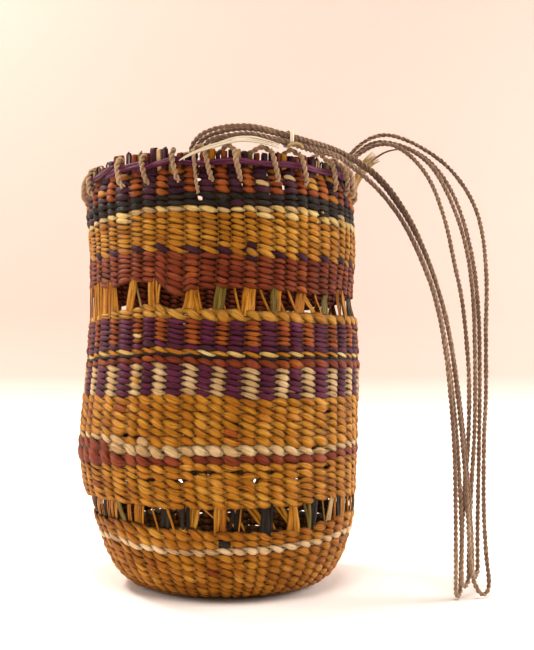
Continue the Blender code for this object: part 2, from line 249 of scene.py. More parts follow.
# Bundles of bare warps in the openwork: the photograph's column at the foot and at the top,
# number of strips, half the bundle's width at the foot and at the top in millimetres, and dye
BUNDLE_DYES = ("ochre", "charcoal", "olive", "brown_ochre", "cream")
LOWER_BUNDLES = [
    (93.5, 90.5, 2, 0.6, 0.6, 3), (96, 93.5, 3, 0.9, 0.9, 1), (99, 97.5, 3, 1.2, 1.2, 3),
    (102.3, 100.3, 2, 0.8, 0.8, 3), (105, 103.5, 2, 0.8, 0.8, 1), (108.5, 107, 2, 0.8, 0.8, 3),
    (113.6, 113, 4, 2.2, 2.6, 3), (126, 119, 2, 0.7, 0.7, 2), (129.5, 128, 2, 0.7, 0.7, 3),
    (138.3, 138, 5, 2.4, 2.6, 0), (159, 153, 1, 0.5, 0.5, 0), (163.4, 165.2, 4, 1.9, 1.9, 1),
    (174.5, 168.5, 1, 0.5, 0.5, 0), (185, 185.5, 2, 1.4, 1.4, 1), (191.2, 193.8, 4, 1.5, 1.9, 0),
    (194.5, 197, 1, 0.3, 0.3, 2), (229, 203, 1, 0.5, 0.5, 3), (218.8, 219.8, 4, 2.0, 2.2, 0),
    (240, 219, 1, 0.5, 0.5, 0), (233.6, 237.5, 4, 2.1, 2.3, 1), (238.5, 241.8, 1, 0.3, 0.3, 0),
    (246.6, 236, 1, 0.8, 0.8, 0), (268, 250, 2, 1.0, 1.4, 0), (265.9, 267.2, 5, 2.5, 2.4, 1),
    (277.5, 266, 1, 0.8, 0.8, 0), (294, 279, 2, 0.8, 1.4, 0), (289.4, 291.6, 2, 0.8, 0.6, 0),
    (296.3, 293.8, 2, 0.8, 0.6, 0), (308.5, 306, 2, 0.3, 1.5, 2), (310.7, 313.6, 3, 1.6, 1.6, 1),
    (317.5, 313, 1, 0.4, 0.4, 0), (324, 322.5, 1, 0.4, 0.4, 2), (327.3, 331, 3, 1.1, 1.2, 4),
    (332.5, 334.5, 2, 0.6, 0.6, 3), (337, 338, 3, 1.2, 1.2, 1), (343.5, 344, 1, 0.5, 0.5, 4),
    (340.5, 341.3, 2, 0.7, 0.7, 3), (346, 347.3, 2, 0.7, 0.7, 3), (348.5, 350.5, 4, 1.2, 1.2, 3),
    (350.8, 353, 2, 0.6, 0.6, 2), (352.5, 355, 3, 0.8, 0.8, 1),
]
UPPER_BUNDLES = [
    (89.5, 89.5, 2, 0.7, 0.7, 3), (91, 91, 3, 0.9, 0.9, 0), (92.8, 93, 2, 0.7, 0.7, 3),
    (95, 95.5, 3, 1.3, 1.3, 3), (97.4, 97.6, 2, 0.8, 0.8, 0), (99.7, 99.5, 2, 1.0, 1.0, 0),
    (102.3, 102.6, 3, 1.0, 1.0, 3), (104.8, 105.2, 2, 0.7, 0.7, 0), (111.5, 112, 2, 0.9, 0.7, 3),
    (107, 108.7, 5, 2.6, 2.8, 3), (116.2, 115, 4, 2.4, 1.0, 0), (129.8, 133.6, 4, 1.7, 1.7, 0),
    (142, 135, 1, 0.9, 0.7, 4), (151.5, 151.5, 2, 0.8, 0.8, 0), (156.6, 157, 3, 1.5, 1.9, 3),
    (187.8, 191.5, 4, 2.4, 1.4, 0), (193.5, 194.5, 2, 0.9, 1.0, 3), (200, 196.5, 2, 0.8, 0.7, 0),
    (218.5, 221.5, 3, 1.8, 1.8, 2), (218, 224, 1, 0.5, 0.5, 3), (226, 220, 1, 0.3, 0.3, 0),
    (240.5, 235.5, 1, 0.4, 0.4, 0), (247, 249.7, 6, 2.8, 2.6, 0), (272, 262, 1, 0.5, 0.5, 0),
    (274, 275.3, 3, 1.3, 1.3, 2), (277, 278.8, 2, 0.7, 0.8, 3), (285, 277, 1, 0.5, 0.5, 0),
    (297, 289, 1, 0.5, 0.5, 3), (298, 301.5, 3, 1.3, 1.5, 3), (301.5, 305.5, 2, 0.8, 0.8, 0),
    (316.5, 304, 2, 0.9, 0.6, 0), (321, 315, 1, 0.4, 0.4, 0), (326.2, 327.2, 4, 2.0, 1.8, 2),
    (339.5, 336.5, 2, 0.6, 0.6, 3), (345, 341.5, 3, 1.1, 1.0, 0), (348.5, 346, 2, 0.8, 0.8, 3),
    (352, 349.5, 4, 1.7, 2.0, 1), (354.5, 353, 2, 0.7, 0.7, 2),
]
# The openwork bands: piece, edges of the bands below and above in millimetres, bundles
OPENWORK = [
    ("lower_openwork", 42.0, 54.6, LOWER_BUNDLES),
    ("upper_openwork", 156.3, 168.7, UPPER_BUNDLES),
]
# The side that the photograph doesn't show: bundles, their start and spacing, their dyes, and
# the strips and half widths of each
HIDDEN_BUNDLES = 16
HIDDEN_START_DEG = 92
HIDDEN_STEP_DEG = 11.25
HIDDEN_DYES = (0, 1, 3, 0, 2)
HIDDEN_UPRIGHT = (3, 2.2, 1.7)
# The bundle that leans behind each: strips, half widths, dye, and the lean in radians
HIDDEN_LEANING = (2, 0.9, 0.7, 3)
HIDDEN_LEAN = 0.08
# A bundle that leans more than this, in radians, lies behind the others
UPRIGHT_LEAN = 0.045
BEHIND_INSET = 1.3 * MM
IN_FRONT_INSET = -0.3 * MM
BUNDLE_PARTS = 6

# Rings of the round base, from its centre: rows, radius of the outer edge in millimetres, warps
BASE_RINGS = [(4, 17, 16), (5, 35, 32), (4, 50, 64)]
BASE_HEART = 2.5 * MM

# The handle: four strands of two-ply string, as routed in the CAD, in millimetres
# A string's plies, in millimetres: radius of a ply, radius of its winding, length of a turn
HANDLE_PLIES = (0.76, 0.64, 6)
LASHING_PLIES = (0.82, 0.72, 6.5)
LASHING_END_PLIES = (0.6, 0.5, 6)
STRING_SPACING = 10 * MM
# The spacing of the points that loose pieces' meshes follow
FINE_SPACING = 2 * MM
LASHING_SPACING = 1.5 * MM
HANDLE_ROUTES = {
    "handle_strand_1": [
        (-14.7, -71.2, 231), (-14.2, -71.1, 243.4), (-9.6, -75.4, 249), (-3, -77.6, 251.8),
        (5, -78.2, 253.2), (18, -77.4, 253.6), (37, -72, 250.4), (48, -66.5, 248.6),
        (60, -58.2, 247.3), (70.5, -49.8, 245), (80.4, -44.5, 241), (90.5, -42.5, 233.6),
        (101.5, -42, 220), (112, -42.5, 201), (122, -44, 173.5), (129, -46, 143),
        (134.2, -48.9, 95), (137.3, -50.9, 50), (138.5, -51.5, 24), (139.6, -51.4, 14),
        (142.4, -50.8, 6), (146.2, -49.6, 2), (149.6, -47.6, 4.2), (150.5, -45.6, 11),
        (149.4, -44.2, 24), (148.4, -43.2, 50), (148.6, -43, 87), (150.5, -40, 112),
        (152.2, -34, 148), (154.7, -26, 181), (154, -17, 210), (148.4, -9.5, 231),
        (137, -1.5, 249.5), (121, 4, 262.6), (106, 6, 269), (94.6, 6.4, 268.1),
        (84.5, 6.4, 261.6), (77.4, 6.4, 252.6), (73.7, 6.4, 244.4), (73.4, 6.4, 232),
    ],
    "handle_strand_2": [
        (-11.7, -71.7, 231), (-11.1, -71.9, 243), (-7.4, -72.8, 248.1), (-1, -74, 250.8),
        (8, -74.4, 252.6), (17, -73.9, 253.1), (26, -71.9, 252), (35.5, -68.7, 250.4),
        (46, -63.4, 248.7), (57.8, -55.3, 247.4), (68.4, -46.8, 245.4), (78.6, -41, 241.6),
        (89, -39, 234.3), (100, -38.4, 221), (111, -38.8, 203), (121.5, -40, 178),
        (129.5, -42, 146), (135.5, -44.8, 100), (138.8, -47.2, 60), (140.5, -48.2, 30),
        (140.7, -48.3, 15.6), (141.5, -47, 12.1), (143.3, -44, 10.6), (145.1, -41, 12.1),
        (145.9, -39.7, 15.6), (146, -39.3, 40), (147, -38.8, 87), (148.4, -35, 120),
        (149.2, -29.5, 158), (147.6, -21, 193), (141.4, -11, 225), (131, -2.5, 247.4),
        (118.5, 4, 259.4), (105, 8.4, 265), (95, 9.5, 264.6), (85.6, 9.5, 259.2),
        (78.4, 9.5, 251.6), (74, 9.5, 244.8), (73.2, 9.5, 239.5), (73.2, 9.5, 232),
    ],
    "handle_strand_3": [
        (-8.7, -72.2, 231), (-8.4, -72.4, 241.6), (-6.9, -73.4, 244.2), (-4, -75.8, 246.8),
        (4, -77.8, 248.4), (16, -77.4, 249.6), (28, -74.7, 248), (39, -70.6, 246.7),
        (48, -65.6, 245.6), (57.5, -59.8, 244.7), (66.5, -55, 242.4), (73, -51, 238.4),
        (81.5, -48, 232.6), (90.5, -46.6, 224.4), (101.5, -46.4, 210.2), (111.5, -47.4, 190),
        (120, -49.2, 165), (126, -51.4, 130), (129.6, -53.4, 80), (129.8, -55.5, 25),
        (129.7, -55.7, 6.8), (130.4, -54.4, 3.3), (132.1, -51.3, 1.8), (133.8, -48.2, 3.3),
        (134.5, -46.9, 6.8), (135.4, -45.4, 28), (137.6, -43.2, 60), (139.8, -43, 87),
        (140.2, -42.4, 125), (137.4, -40, 163), (134.6, -35, 184), (130.6, -28, 211),
        (124.6, -20.4, 234), (116, -13, 250), (105.6, -6, 260), (96, -1.6, 261.6),
        (87, 0.2, 257.6), (79.6, 0.2, 251.2), (75, 0.2, 246.6), (73.4, 0.2, 242),
        (73.4, 0.2, 232),
    ],
    "handle_strand_4": [
        (-5.7, -72.5, 231), (-5.4, -72, 241.4), (-4, -71.9, 244.2), (-0.5, -73.2, 246.6),
        (6, -74, 248), (16, -73.6, 249.1), (27, -71.4, 247.9), (37.5, -67.3, 246.8),
        (46.3, -62.5, 245.5), (55, -56.8, 244.6), (64.5, -52, 243.6), (72, -47.8, 240.8),
        (80, -44.4, 235.6), (91, -42.6, 225.4), (102, -42.6, 211), (112.5, -43.8, 190.5),
        (121.3, -45.8, 165), (127.6, -48.2, 130), (131.6, -50.8, 87), (133.6, -52.4, 40),
        (133.7, -53, 11.5), (134.6, -51.8, 8), (136.6, -48.9, 6.5), (138.6, -46, 8),
        (139.5, -44.8, 11.5), (139.7, -44.8, 30), (141, -44.8, 60), (142.6, -44.8, 87),
        (143.6, -43.4, 112), (144.4, -39.5, 143), (145, -34, 166), (143.6, -26, 194),
        (138.6, -16.6, 220), (129, -7.4, 245), (115.6, -0.6, 259), (101, 2.7, 264.2),
        (91, 3.3, 262.6), (82.6, 3.3, 255.8), (77, 3.3, 248.6), (74, 3.3, 242.6),
        (73.7, 3.3, 232),
    ],
}

# The string that lashes the rim. One turn, in millimetres: degrees on from the turn's own,
# radius, height
LASHING_LEG = [
    (-1.4, 76.2, 242.2),
    (-1.2, 79.3, 241.2),
    (-0.8, 80.9, 237.0),
    (0.0, 81.2, 232.0),
    (0.8, 81.1, 227.4),
    (1.2, 78.4, 225.2),
    (1.4, 75.2, 226.4),
    (1.5, 73.0, 231.0),
    (1.4, 72.9, 240.2),
    (2.0, 74.6, 242.2),
]
LASHING_TURNS = 28
LASHING_START_DEG = -4.3
# Turns that stray from their even places, in degrees
LASHING_SHIFTS = {1: -2, 4: 4.5, 5: 2.5, 6: -1.5, 23: -13, 24: -11}
# Turns whose slack lies inside the rim: how far what is above a height sinks, and the radius and
# height halfway to the next turn
LASHING_LOW_TURNS = range(19, 27)
LASHING_TOP_MM = 236
LASHING_DROP_MM = 1.4
LASHING_INSIDE_MM = (72.6, 237)
# At the other turns the slack stands up in an arch: share of the way to the next turn, radius,
# height, and how much the height varies
LASHING_ARCH = [
    (0.36, 73.4, 240.4, 0.0),
    (0.7, 75.4, 244.4, 0.6),
]
# The string's end, brought out beside the front turns: degrees, radius, height
LASHING_END = [
    (-10.6, 73.6, 236.0),
    (-10.4, 75.4, 241.2),
    (-10.0, 79.4, 240.4),
    (-9.4, 81.2, 235.0),
    (-9.0, 81.5, 228.0),
    (-8.4, 81.4, 221.4),
    (-8.1, 79.4, 218.4),
]

# The rim, and the purple strand round it. The strand's lengths: from and to in degrees, and
# climb in millimetres. On the left they are short, and climb between the lashings.
RIM_LEAN = 0.9 * MM
RIM_STRAND_RING_MM = 78.5
RIM_STRAND_HEIGHT_MM = 235
RIM_STRAND_LENGTHS = [
    (-92, -66, 3.0),
    (-70, -47, 3.5),
    (-54, -29, 4.0),
    (-36, -14, 4.0),
    (-19, 150, 0.5),
    (143, 272, 0.5),
]

# The warps' folded ends: radius and height in millimetres, up the outside and down the inside
FOLD_UP = [(76.4, 232), (76.7, 236)]
FOLD_DOWN = [(74.4, 232)]
# From the end's own top: radius, and height below the top
FOLD_OVER = [(76.9, 1.2), (76.3, 0), (75.1, 0), (74.6, 1.5)]
FOLD_TOP_MM = 240.9
# Where the ends stand taller, and by how much: degrees and millimetres
FOLD_RISES = [(-62, 0), (-40, 2.4), (-24, 2.4), (-18, 0)]
FOLD_DYES = ("terracotta", "dark_purple", "cream", "olive", "brown_ochre")
FOLD_DYE_ORDER = (0, 1, 2, 1, 3, 0, 1, 1, 0, 4, 1, 0, 3)

# The pale strip round the handle's strands
TIE_CENTRE = Vector((37.4, -69.6, 248.6)) * MM
TIE_HALF_WIDTH = 4.2 * MM
TIE_HALF_HEIGHT = 4.0 * MM
TIE_TURN_DEG = -68
TIE_POINTS = 24
# Its free end, drawn out to the right of the knot, in millimetres
TIE_END_ROUTE = [
    (37.0, -73.4, 244.4),
    (39.0, -74.6, 245.0),
    (41.2, -75.0, 245.2),
    (43.4, -74.8, 244.4),
    (44.8, -74.4, 242.8),
]

# Loose fibre at the rim, in millimetres
PALE_FIBRE_ROUTE = [
    (-20.3, -79.3, 235.2),
    (-17, -81.2, 236.6),
    (-12, -82.6, 238.6),
    (-6, -82.2, 241.2),
    (2, -81.4, 243.8),
    (10, -80.8, 245.9),
    (18, -79.8, 246.2),
    (25, -78.2, 245.2),
    (32, -76, 243.6),
]
FRAYED_END_ROUTE = [
    (82.7, 4, 235),
    (84.2, 4.2, 241),
    (87.5, 4.2, 247.5),
    (91.5, 4, 252.5),
    (96, 3.6, 256),
]
# One thread of it that reaches the handle
FRAYED_THREAD_ROUTE = [
    (93, 3.4, 252.6),
    (97, 1.6, 255.4),
    (102.6, -2.6, 257.8),
    (108.6, -8, 257.6),
]

# Kinds of node that come often
MATH = "ShaderNodeMath"
VECTOR_MATH = "ShaderNodeVectorMath"
MAP_RANGE = "ShaderNodeMapRange"
NOISE = "ShaderNodeTexNoise"
STORE = "GeometryNodeStoreNamedAttribute"
RANDOM = "FunctionNodeRandomValue"
COMPARE = "FunctionNodeCompare"
# Between the seeds of one stitch's random numbers, and between the labels of one row's stitches
# or one line's strips and those of the next
SEED_STEP = 17.0
ROW_STEP = 500
LINE_STEP = 20.0

# Loose strips: dye, number of strips, width of one and half the spread at the two ends in
# millimetres, and how far the two ends narrow
TIE_END_STRIPS = ("cream", 2, 0.8, (0.5, 0.3), (1, 0.5))
PALE_FIBRE_STRIPS = ("undyed", 3, 0.75, (0.2, 1.3), (0.3, 0.4))
FRAYED_END_STRIPS = ("straw", 7, 0.75, (0.8, 3.8), (0.8, 0.3))
FRAYED_THREAD_STRIPS = ("handle_string", 1, 0.55, (0, 0), (0.6, 0.6))

# How many dyes the tree for flat strips takes
DYES_IN_A_BUNDLE = 5
# The colour of the shade painted into the leaf's hollows, edges and inner side, and which half of a
# strip's outline faces into the bag
PAINTED_SHADE_COLOUR = "240C00"
INNER_SIDE = -1
# The inside is darkest below the first height and palest above the second
SHADE_BOTTOM = 60 * MM
SHADE_TOP = 170 * MM
# Dyes: darkest, middle and lightest colour of the strip
DYES = {
    "ochre": ("602600", "A8690A", "DCA448"),
    "golden": ("623204", "AC7422", "D8A850"),
    "pale_ochre": ("94702E", "CCA860", "ECDAA2"),
    "brown_ochre": ("5A2400", "A26006", "D09440"),
    "terracotta": ("441000", "742C0C", "A45434"),
    "orange_rust": ("4C1800", "8A3E0E", "B46428"),
    "cream": ("6E4A20", "BC9866", "E4CAA0"),
    "pale_cream": ("8A6436", "D6B080", "F4DCB6"),
    "purple": ("20040E", "4E142E", "72324C"),
    "dark_purple": ("160408", "341020", "5A2E38"),
    "rim_purple": ("260C14", "562038", "98546E"),
    "charcoal": ("080402", "1C1610", "3E382A"),
    "olive": ("3A2A08", "6A561C", "A08448"),
    # Not a dye: painted shade for the warps, dark where they show between the stitches, in place of
    # their own golden colour
    "shaded": ("120600", "2A1402", "4A2A0C"),
    "straw": ("86602C", "CCA664", "EAD29E"),
    "undyed": ("C8AC88", "EFDCC0", "FFF6EA"),
}
# Strings: darkest, middle and lightest colour
STRINGS = {
    "handle_string": ("281609", "76543A", "DCC09C"),
    "lashing_string": ("4C3420", "A07A54", "E2C09A"),
}


def linear(colour):
    """An sRGB hex colour as linear red, green, blue and alpha."""
    parts = [int(colour[i : i + 2], 16) / 255 for i in (0, 2, 4)]
    return (*[c / 12.92 if c <= 0.04045 else ((c + 0.055) / 1.055) ** 2.4 for c in parts], 1)


def add(tree, kind, inputs=(), **settings):
    """Adds a node with its settings. Its inputs are a list in their order or a dict by name, of
    values, nodes or sockets."""
    node = tree.nodes.new(kind)
    for name, value in settings.items():
        setattr(node, name, value)
    shown = [socket for socket in node.inputs if socket.enabled]
    if isinstance(inputs, dict):
        shown = [next(socket for socket in shown if socket.name == name) for name in inputs]
        inputs = inputs.values()
    for socket, value in zip(shown, inputs):
        if isinstance(value, bpy.types.Node):
            value = next(output for output in value.outputs if output.enabled)
        if isinstance(value, bpy.types.NodeSocket):
            tree.links.new(value, socket)
        else:
            socket.default_value = value
    return node


def new_material(name):
    """An empty material with its tree and its shader."""
    material = bpy.data.materials.new(name)
    material.use_nodes = True
    return material, material.node_tree, material.node_tree.nodes["Principled BSDF"]


def set_stops(ramp, stops):
    """Gives a colour ramp its stops, each a position and a hex colour."""
    elements = ramp.color_ramp.elements
    while len(elements) < len(stops):
        elements.new(1)
    for element, (position, colour) in zip(elements, stops):
        element.position = position
        element.color = linear(colour)


# Materials


def dyed_leaf(name, colours):
    """Split, dried leaf soaked in a plant dye: streaked along the strip, no two stitches alike, with
    painted shade in its hollows, along its edges and on its side inside the bag.
    """
    material, tree, shader = new_material("split_leaf_" + name)
    around = add(tree, "ShaderNodeAttribute", attribute_name="around")
    along = add(tree, "ShaderNodeAttribute", attribute_name="along")
    stitch = add(tree, "ShaderNodeAttribute", attribute_name="stitch")
    hollow = add(tree, "ShaderNodeAttribute", attribute_name="hollow")

    # Veins 0.5 mm apart across the strip, each running on for about 12 mm
    length = add(tree, MATH, [along.outputs["Fac"], 25], operation="MULTIPLY")
    shift = add(tree, MATH, [stitch.outputs["Fac"], 40, length], operation="MULTIPLY_ADD")
    split = add(tree, "ShaderNodeSeparateXYZ", [around.outputs["Vector"]])
    place = add(tree, "ShaderNodeCombineXYZ", [split.outputs[0], split.outputs[1], shift])
    veins = add(tree, NOISE, {"Vector": place, "Scale": 3.4, "Detail": 3, "Roughness": 0.65})
    veins = add(tree, MAP_RANGE, {"Value": veins, "From Min": 0.3, "From Max": 0.7})
    # Dye that took unevenly, in patches about 12 mm across
    where = add(tree, "ShaderNodeTexCoord")
    patches = add(tree, NOISE, {"Vector": where.outputs["Object"], "Scale": 80, "Detail": 3})
    tone = add(tree, MATH, [stitch.outputs["Fac"], 0.24], operation="MULTIPLY")
    tone = add(tree, MATH, [veins, 0.45, tone], operation="MULTIPLY_ADD")
    tone = add(tree, MATH, [patches, 0.6, tone], operation="MULTIPLY_ADD")
    tone = add(tree, MAP_RANGE, {"Value": tone, "From Min": 0.22, "From Max": 1.08})
    ramp = add(tree, "ShaderNodeValToRGB", [tone])
    set_stops(ramp, [(0, colours[0]), (0.5, colours[1]), (1, colours[2])])
    # Painted shade darkens the strip where it goes behind the next stitch, and the side
    # that faces into the bag
    painted_shade = add(tree, MATH, [hollow.outputs["Fac"], 2.6], operation="POWER")
    # Painted shade on the side of the strip that faces into the bag
    inside = add(tree, MAP_RANGE, {
        "Value": split.outputs[0], "From Min": INNER_SIDE * 0.1, "From Max": INNER_SIDE * 0.5})
    # The painted shade inside deepens towards the bottom of the bag
    height = add(tree, "ShaderNodeSeparateXYZ", [where.outputs["Object"]])
    depth = add(tree, MAP_RANGE, {"Value": height.outputs[2], "From Min": SHADE_BOTTOM,
                                  "From Max": SHADE_TOP, "To Min": 0.8, "To Max": 0.28})
    inside = add(tree, MATH, [inside, depth], operation="MULTIPLY")
    # Painted shade along the strip's two edges, pressed against the rows above and below
    edge = add(tree, MATH, [split.outputs[1]], operation="ABSOLUTE")
    edge = add(tree, MAP_RANGE, {"Value": edge, "From Min": 0.45, "From Max": 0.95, "To Max": 0.62})
    darkest = add(tree, MATH, [inside, edge], operation="MAXIMUM")
    # The painted shade of the hollows, the inner side and the edges, together
    painted_shade = add(tree, MATH, [painted_shade, 0.5, darkest], operation="MULTIPLY_ADD")
    painted_shade = add(tree, MATH, [painted_shade, 0.92], operation="MINIMUM")
    # No two strips take the dye alike
    other = add(tree, MATH, [stitch.outputs["Fac"], 7.3], operation="MULTIPLY")
    other = add(tree, MATH, [other], operation="FRACT")
    hue = add(tree, MAP_RANGE, {"Value": other, "To Min": 0.497, "To Max": 0.504})
    varied = add(tree, "ShaderNodeHueSaturation", {"Color": ramp, "Hue": hue})
    # The dye is mixed towards the colour of the painted shade
    colour = add(tree, "ShaderNodeMix", {"Factor": painted_shade, "A": varied, "B": linear(PAINTED_SHADE_COLOUR)},
                 data_type="RGBA")
    roughness = add(tree, MAP_RANGE, {"Value": veins, "To Min": 0.42, "To Max": 0.65})
    bump = add(tree, "ShaderNodeBump", {"Height": veins, "Strength": 0.7, "Distance": 0.35 * MM})
    tree.links.new(colour.outputs[2], shader.inputs["Base Color"])
    tree.links.new(roughness.outputs[0], shader.inputs["Roughness"])
    tree.links.new(bump.outputs[0], shader.inputs["Normal"])
    shader.inputs["Specular IOR Level"].default_value = 0.12
    return material


def rolled_string(name, colours):
    """Bark fibre rolled on the leg into two-ply string: matt, hairy, each ply streaked lengthwise."""
    material, tree, shader = new_material("bark_" + name)
    # Fibres 0.2 mm wide along each ply
    around = add(tree, "ShaderNodeAttribute", attribute_name="around")
    along = add(tree, "ShaderNodeAttribute", attribute_name="along")
    length = add(tree, MATH, [along.outputs["Fac"], 60], operation="MULTIPLY")
    split = add(tree, "ShaderNodeSeparateXYZ", [around.outputs["Vector"]])
    place = add(tree, "ShaderNodeCombineXYZ", [split.outputs[0], split.outputs[1], length])
    fibres = add(tree, NOISE, {"Vector": place, "Scale": 3.5, "Detail": 4, "Roughness": 0.7})
    # Darker and paler lengths, about 25 mm each
    patches = add(tree, NOISE, {"Vector": place, "Scale": 0.14, "Detail": 2})
    tone = add(tree, MATH, [patches, 0.7, fibres], operation="MULTIPLY_ADD")
    tone = add(tree, MAP_RANGE, {"Value": tone, "From Min": 0.56, "From Max": 1.14})
    ramp = add(tree, "ShaderNodeValToRGB", [tone])
    set_stops(ramp, [(0, colours[0]), (0.5, colours[1]), (1, colours[2])])
    bump = add(tree, "ShaderNodeBump", {"Height": fibres, "Strength": 0.8, "Distance": 0.2 * MM})
    tree.links.new(ramp.outputs[0], shader.inputs["Base Color"])
    tree.links.new(bump.outputs[0], shader.inputs["Normal"])
    shader.inputs["Roughness"].default_value = 0.9
    shader.inputs["Sheen Weight"].default_value = 0.25
    return material


def matt_board():
    """Painted studio board, matt: near white where it lies flat, warm where it stands up."""
    material, tree, shader = new_material("studio_board")
    where = add(tree, "ShaderNodeTexCoord")
    split = add(tree, "ShaderNodeSeparateXYZ", [where.outputs["Object"]])
    rise = add(tree, MAP_RANGE, {"Value": split.outputs[2], "From Max": 0.12})
    ramp = add(tree, "ShaderNodeValToRGB", [rise])
    set_stops(ramp, [(0, FLOOR_COLOUR), (1, WALL_COLOUR)])
    tree.links.new(ramp.outputs[0], shader.inputs["Base Color"])
    shader.inputs["Roughness"].default_value = 0.7
    return material


# Guides and meshes


def new_object(name, data):
    thing = bpy.data.objects.new(name, data)
    bpy.context.scene.collection.objects.link(thing)
    return thing


def guide(name, lines, closed=False):
    """A mesh of lines for a node tree to follow. A point is a dict of its place and attributes."""
    points = [point for line in lines for point in line]
    edges = []
    start = 0
    for line in lines:
        edges += [(start + i, start + i + 1) for i in range(len(line) - 1)]
        if closed:
            edges.append((start + len(line) - 1, start))
        start += len(line)
    mesh = bpy.data.meshes.new(name)
    mesh.from_pydata([point["place"] for point in points], edges, [])
    for key, first in points[0].items():
        if key == "place":
            continue
        if isinstance(first, Vector):
            values = [part for point in points for part in point[key]]
            mesh.attributes.new(key, "FLOAT_VECTOR", "POINT").data.foreach_set("vector", values)
        else:
            values = [float(point[key]) for point in points]
            mesh.attributes.new(key, "FLOAT", "POINT").data.foreach_set("value", values)
    return new_object(name, mesh)


def grow(name, lines, tree, values, closed=False):
    """Runs a node tree on guide lines and keeps its result as a plain mesh."""
    source = guide(name + "_guide", lines, closed)
    modifier = source.modifiers.new("Grow", "NODES")
    modifier.node_group = tree
    sockets = {
        item.name: item.identifier
        for item in tree.interface.items_tree
        if item.item_type == "SOCKET" and item.in_out == "INPUT"
    }
    for label, value in values.items():
        modifier[sockets[label]] = value
    evaluated = source.evaluated_get(bpy.context.evaluated_depsgraph_get())
    mesh = bpy.data.meshes.new_from_object(evaluated)
    mesh.name = name
    bpy.data.objects.remove(source)
    return new_object(name, mesh)


def join(name, things):
    """One object from several, named as the piece."""
    with bpy.context.temp_override(active_object=things[0], selected_editable_objects=things):
        bpy.ops.object.join()
    things[0].name = name
    return things[0]


def smooth_route(knots, spacing):
    """The route's own points, with more on the Catmull-Rom curve between those far apart."""
    knots = [2 * knots[0] - knots[1], *knots, 2 * knots[-1] - knots[-2]]
    points = []
    for before, start, end, after in zip(knots, knots[1:], knots[2:], knots[3:]):
        parts = max(1, round((end - start).length / spacing))
        for part in range(parts):
            t = part / parts
            bend = (2 * before - 5 * start + 4 * end - after) * t**2
            twist = (3 * start - before - 3 * end + after) * t**3
            points.append((2 * start + (end - before) * t + bend + twist) / 2)
    points.append(knots[-2])
    return points


def in_metres(route_mm):
    return [Vector(point) * MM for point in route_mm]


# The wall's outline


def wall_outline():
    """Lengths up the outline from the base's centre, and the radius, lean and height at each."""
    knots = [Vector((0, BAG_SECTIONS[0][2], 0)) * MM, Vector((25, BAG_SECTIONS[0][2], 0)) * MM]
    knots += [Vector((radius, lean, height)) * MM for height, radius, lean in BAG_SECTIONS]
    points = smooth_route(knots, OUTLINE_SPACING)
    lengths = [0.0]
    for start, end in zip(points, points[1:]):
        lengths.append(lengths[-1] + math.hypot(end.x - start.x, end.z - start.z))
    return lengths, points


OUTLINE_LENGTHS, OUTLINE_POINTS = wall_outline()


def on_outline(length):
    """Radius, lean and height at a length up the outline."""
    after = min(max(bisect_right(OUTLINE_LENGTHS, length), 1), len(OUTLINE_LENGTHS) - 1)
    low = OUTLINE_LENGTHS[after - 1]
    share = (length - low) / (OUTLINE_LENGTHS[after] - low)
    return OUTLINE_POINTS[after - 1].lerp(OUTLINE_POINTS[after], share)


def length_at(height):
    """The length up the outline where the wall reaches a height."""
    for i, (start, end) in enumerate(zip(OUTLINE_POINTS, OUTLINE_POINTS[1:])):
        if start.z <= height <= end.z and end.z > start.z:
            share = (height - start.z) / (end.z - start.z)
            return OUTLINE_LENGTHS[i] + share * (OUTLINE_LENGTHS[i + 1] - OUTLINE_LENGTHS[i])
    return OUTLINE_LENGTHS[-1]


def on_wall(length, angle, deeper=0.0):
    """A point in the middle of the wall, with the directions out of the wall, up it and round it."""
    here = on_outline(length)
    slope = on_outline(length + OUTLINE_SPACING) - on_outline(length - OUTLINE_SPACING)
    slope = Vector((slope.x, 0, slope.z)).normalized()
    turned = Matrix.Rotation(angle, 3, "Z")
    sideways = turned @ Vector((1, 0, 0))
    away = turned @ Vector((0, -1, 0))
    outward = away * slope.z - Vector((0, 0, slope.x))
    upward = away * slope.x + Vector((0, 0, slope.z))
    rise = min(here.z / BASE_INSET_TOP, 1)
    inset = BASE_INSET + (WALL_INSET - BASE_INSET) * rise + deeper
    centre = Vector((here.y, 0, here.z))
    return centre + away * here.x - outward * inset, outward, upward, sideways


# Lengths along the outline: the base's edge, the foot's top, the waist, and near the rim
BASE_LENGTH = 58 * MM
FOOT_LENGTH = length_at(42 * MM)
WAIST_LENGTH = length_at(150 * MM)
RIM_LENGTH = 270 * MM


def wall_angle(column, length):
    """The angle where the camera sees the wall in one of its columns, at a length up the wall."""
    across = (column - PHOTO_CENTRE[0]) / PHOTO_FOCAL
    here = on_outline(length)
    radius = here.x - WALL_INSET
    far = across * here.y - EYE.y
    square = far**2 - (1 + across**2) * (here.y**2 + EYE.y**2 - radius**2)
    reach = (far - math.sqrt(max(square, 0))) / (1 + across**2)
    return math.atan2(across * reach - here.y, -EYE.y - reach)


def eased(stops, degrees):
    """A value between listed stops of degrees and value, and 0 outside them."""
    if not stops or not stops[0][0] < degrees < stops[-1][0]:
        return 0.0
    after = next(i for i, (at, _) in enumerate(stops) if at > degrees)
    (low, start), (high, end) = stops[after - 1], stops[after]
    return start + (end - start) * (1 - math.cos(math.pi * (degrees - low) / (high - low))) / 2


def short_way(angle):
    """An angle taken the short way round from the front, to the right or, below 0, to the left."""
    return (angle + math.pi) % math.tau - math.pi


def drifted(angle, length):
    """Where a warp runs that would stand at an even angle: no two gaps are quite alike."""
    turned = math.degrees(short_way(angle))
    shift = math.radians(eased(WARP_SHIFTS, turned))
    if turned > 0:
        # Above the waist the warps on the right stand evenly
        shift *= 1 - 0.7 * min(max((length - WAIST_LENGTH) / (20 * MM), 0), 1)
    sway = 0.01 * math.sin(5 * angle + 30 * length) + 0.008 * math.sin(13 * angle - 22 * length + 1.7)
    return angle + shift + sway + 0.005 * math.sin(31 * angle + 9 * length + 0.6)


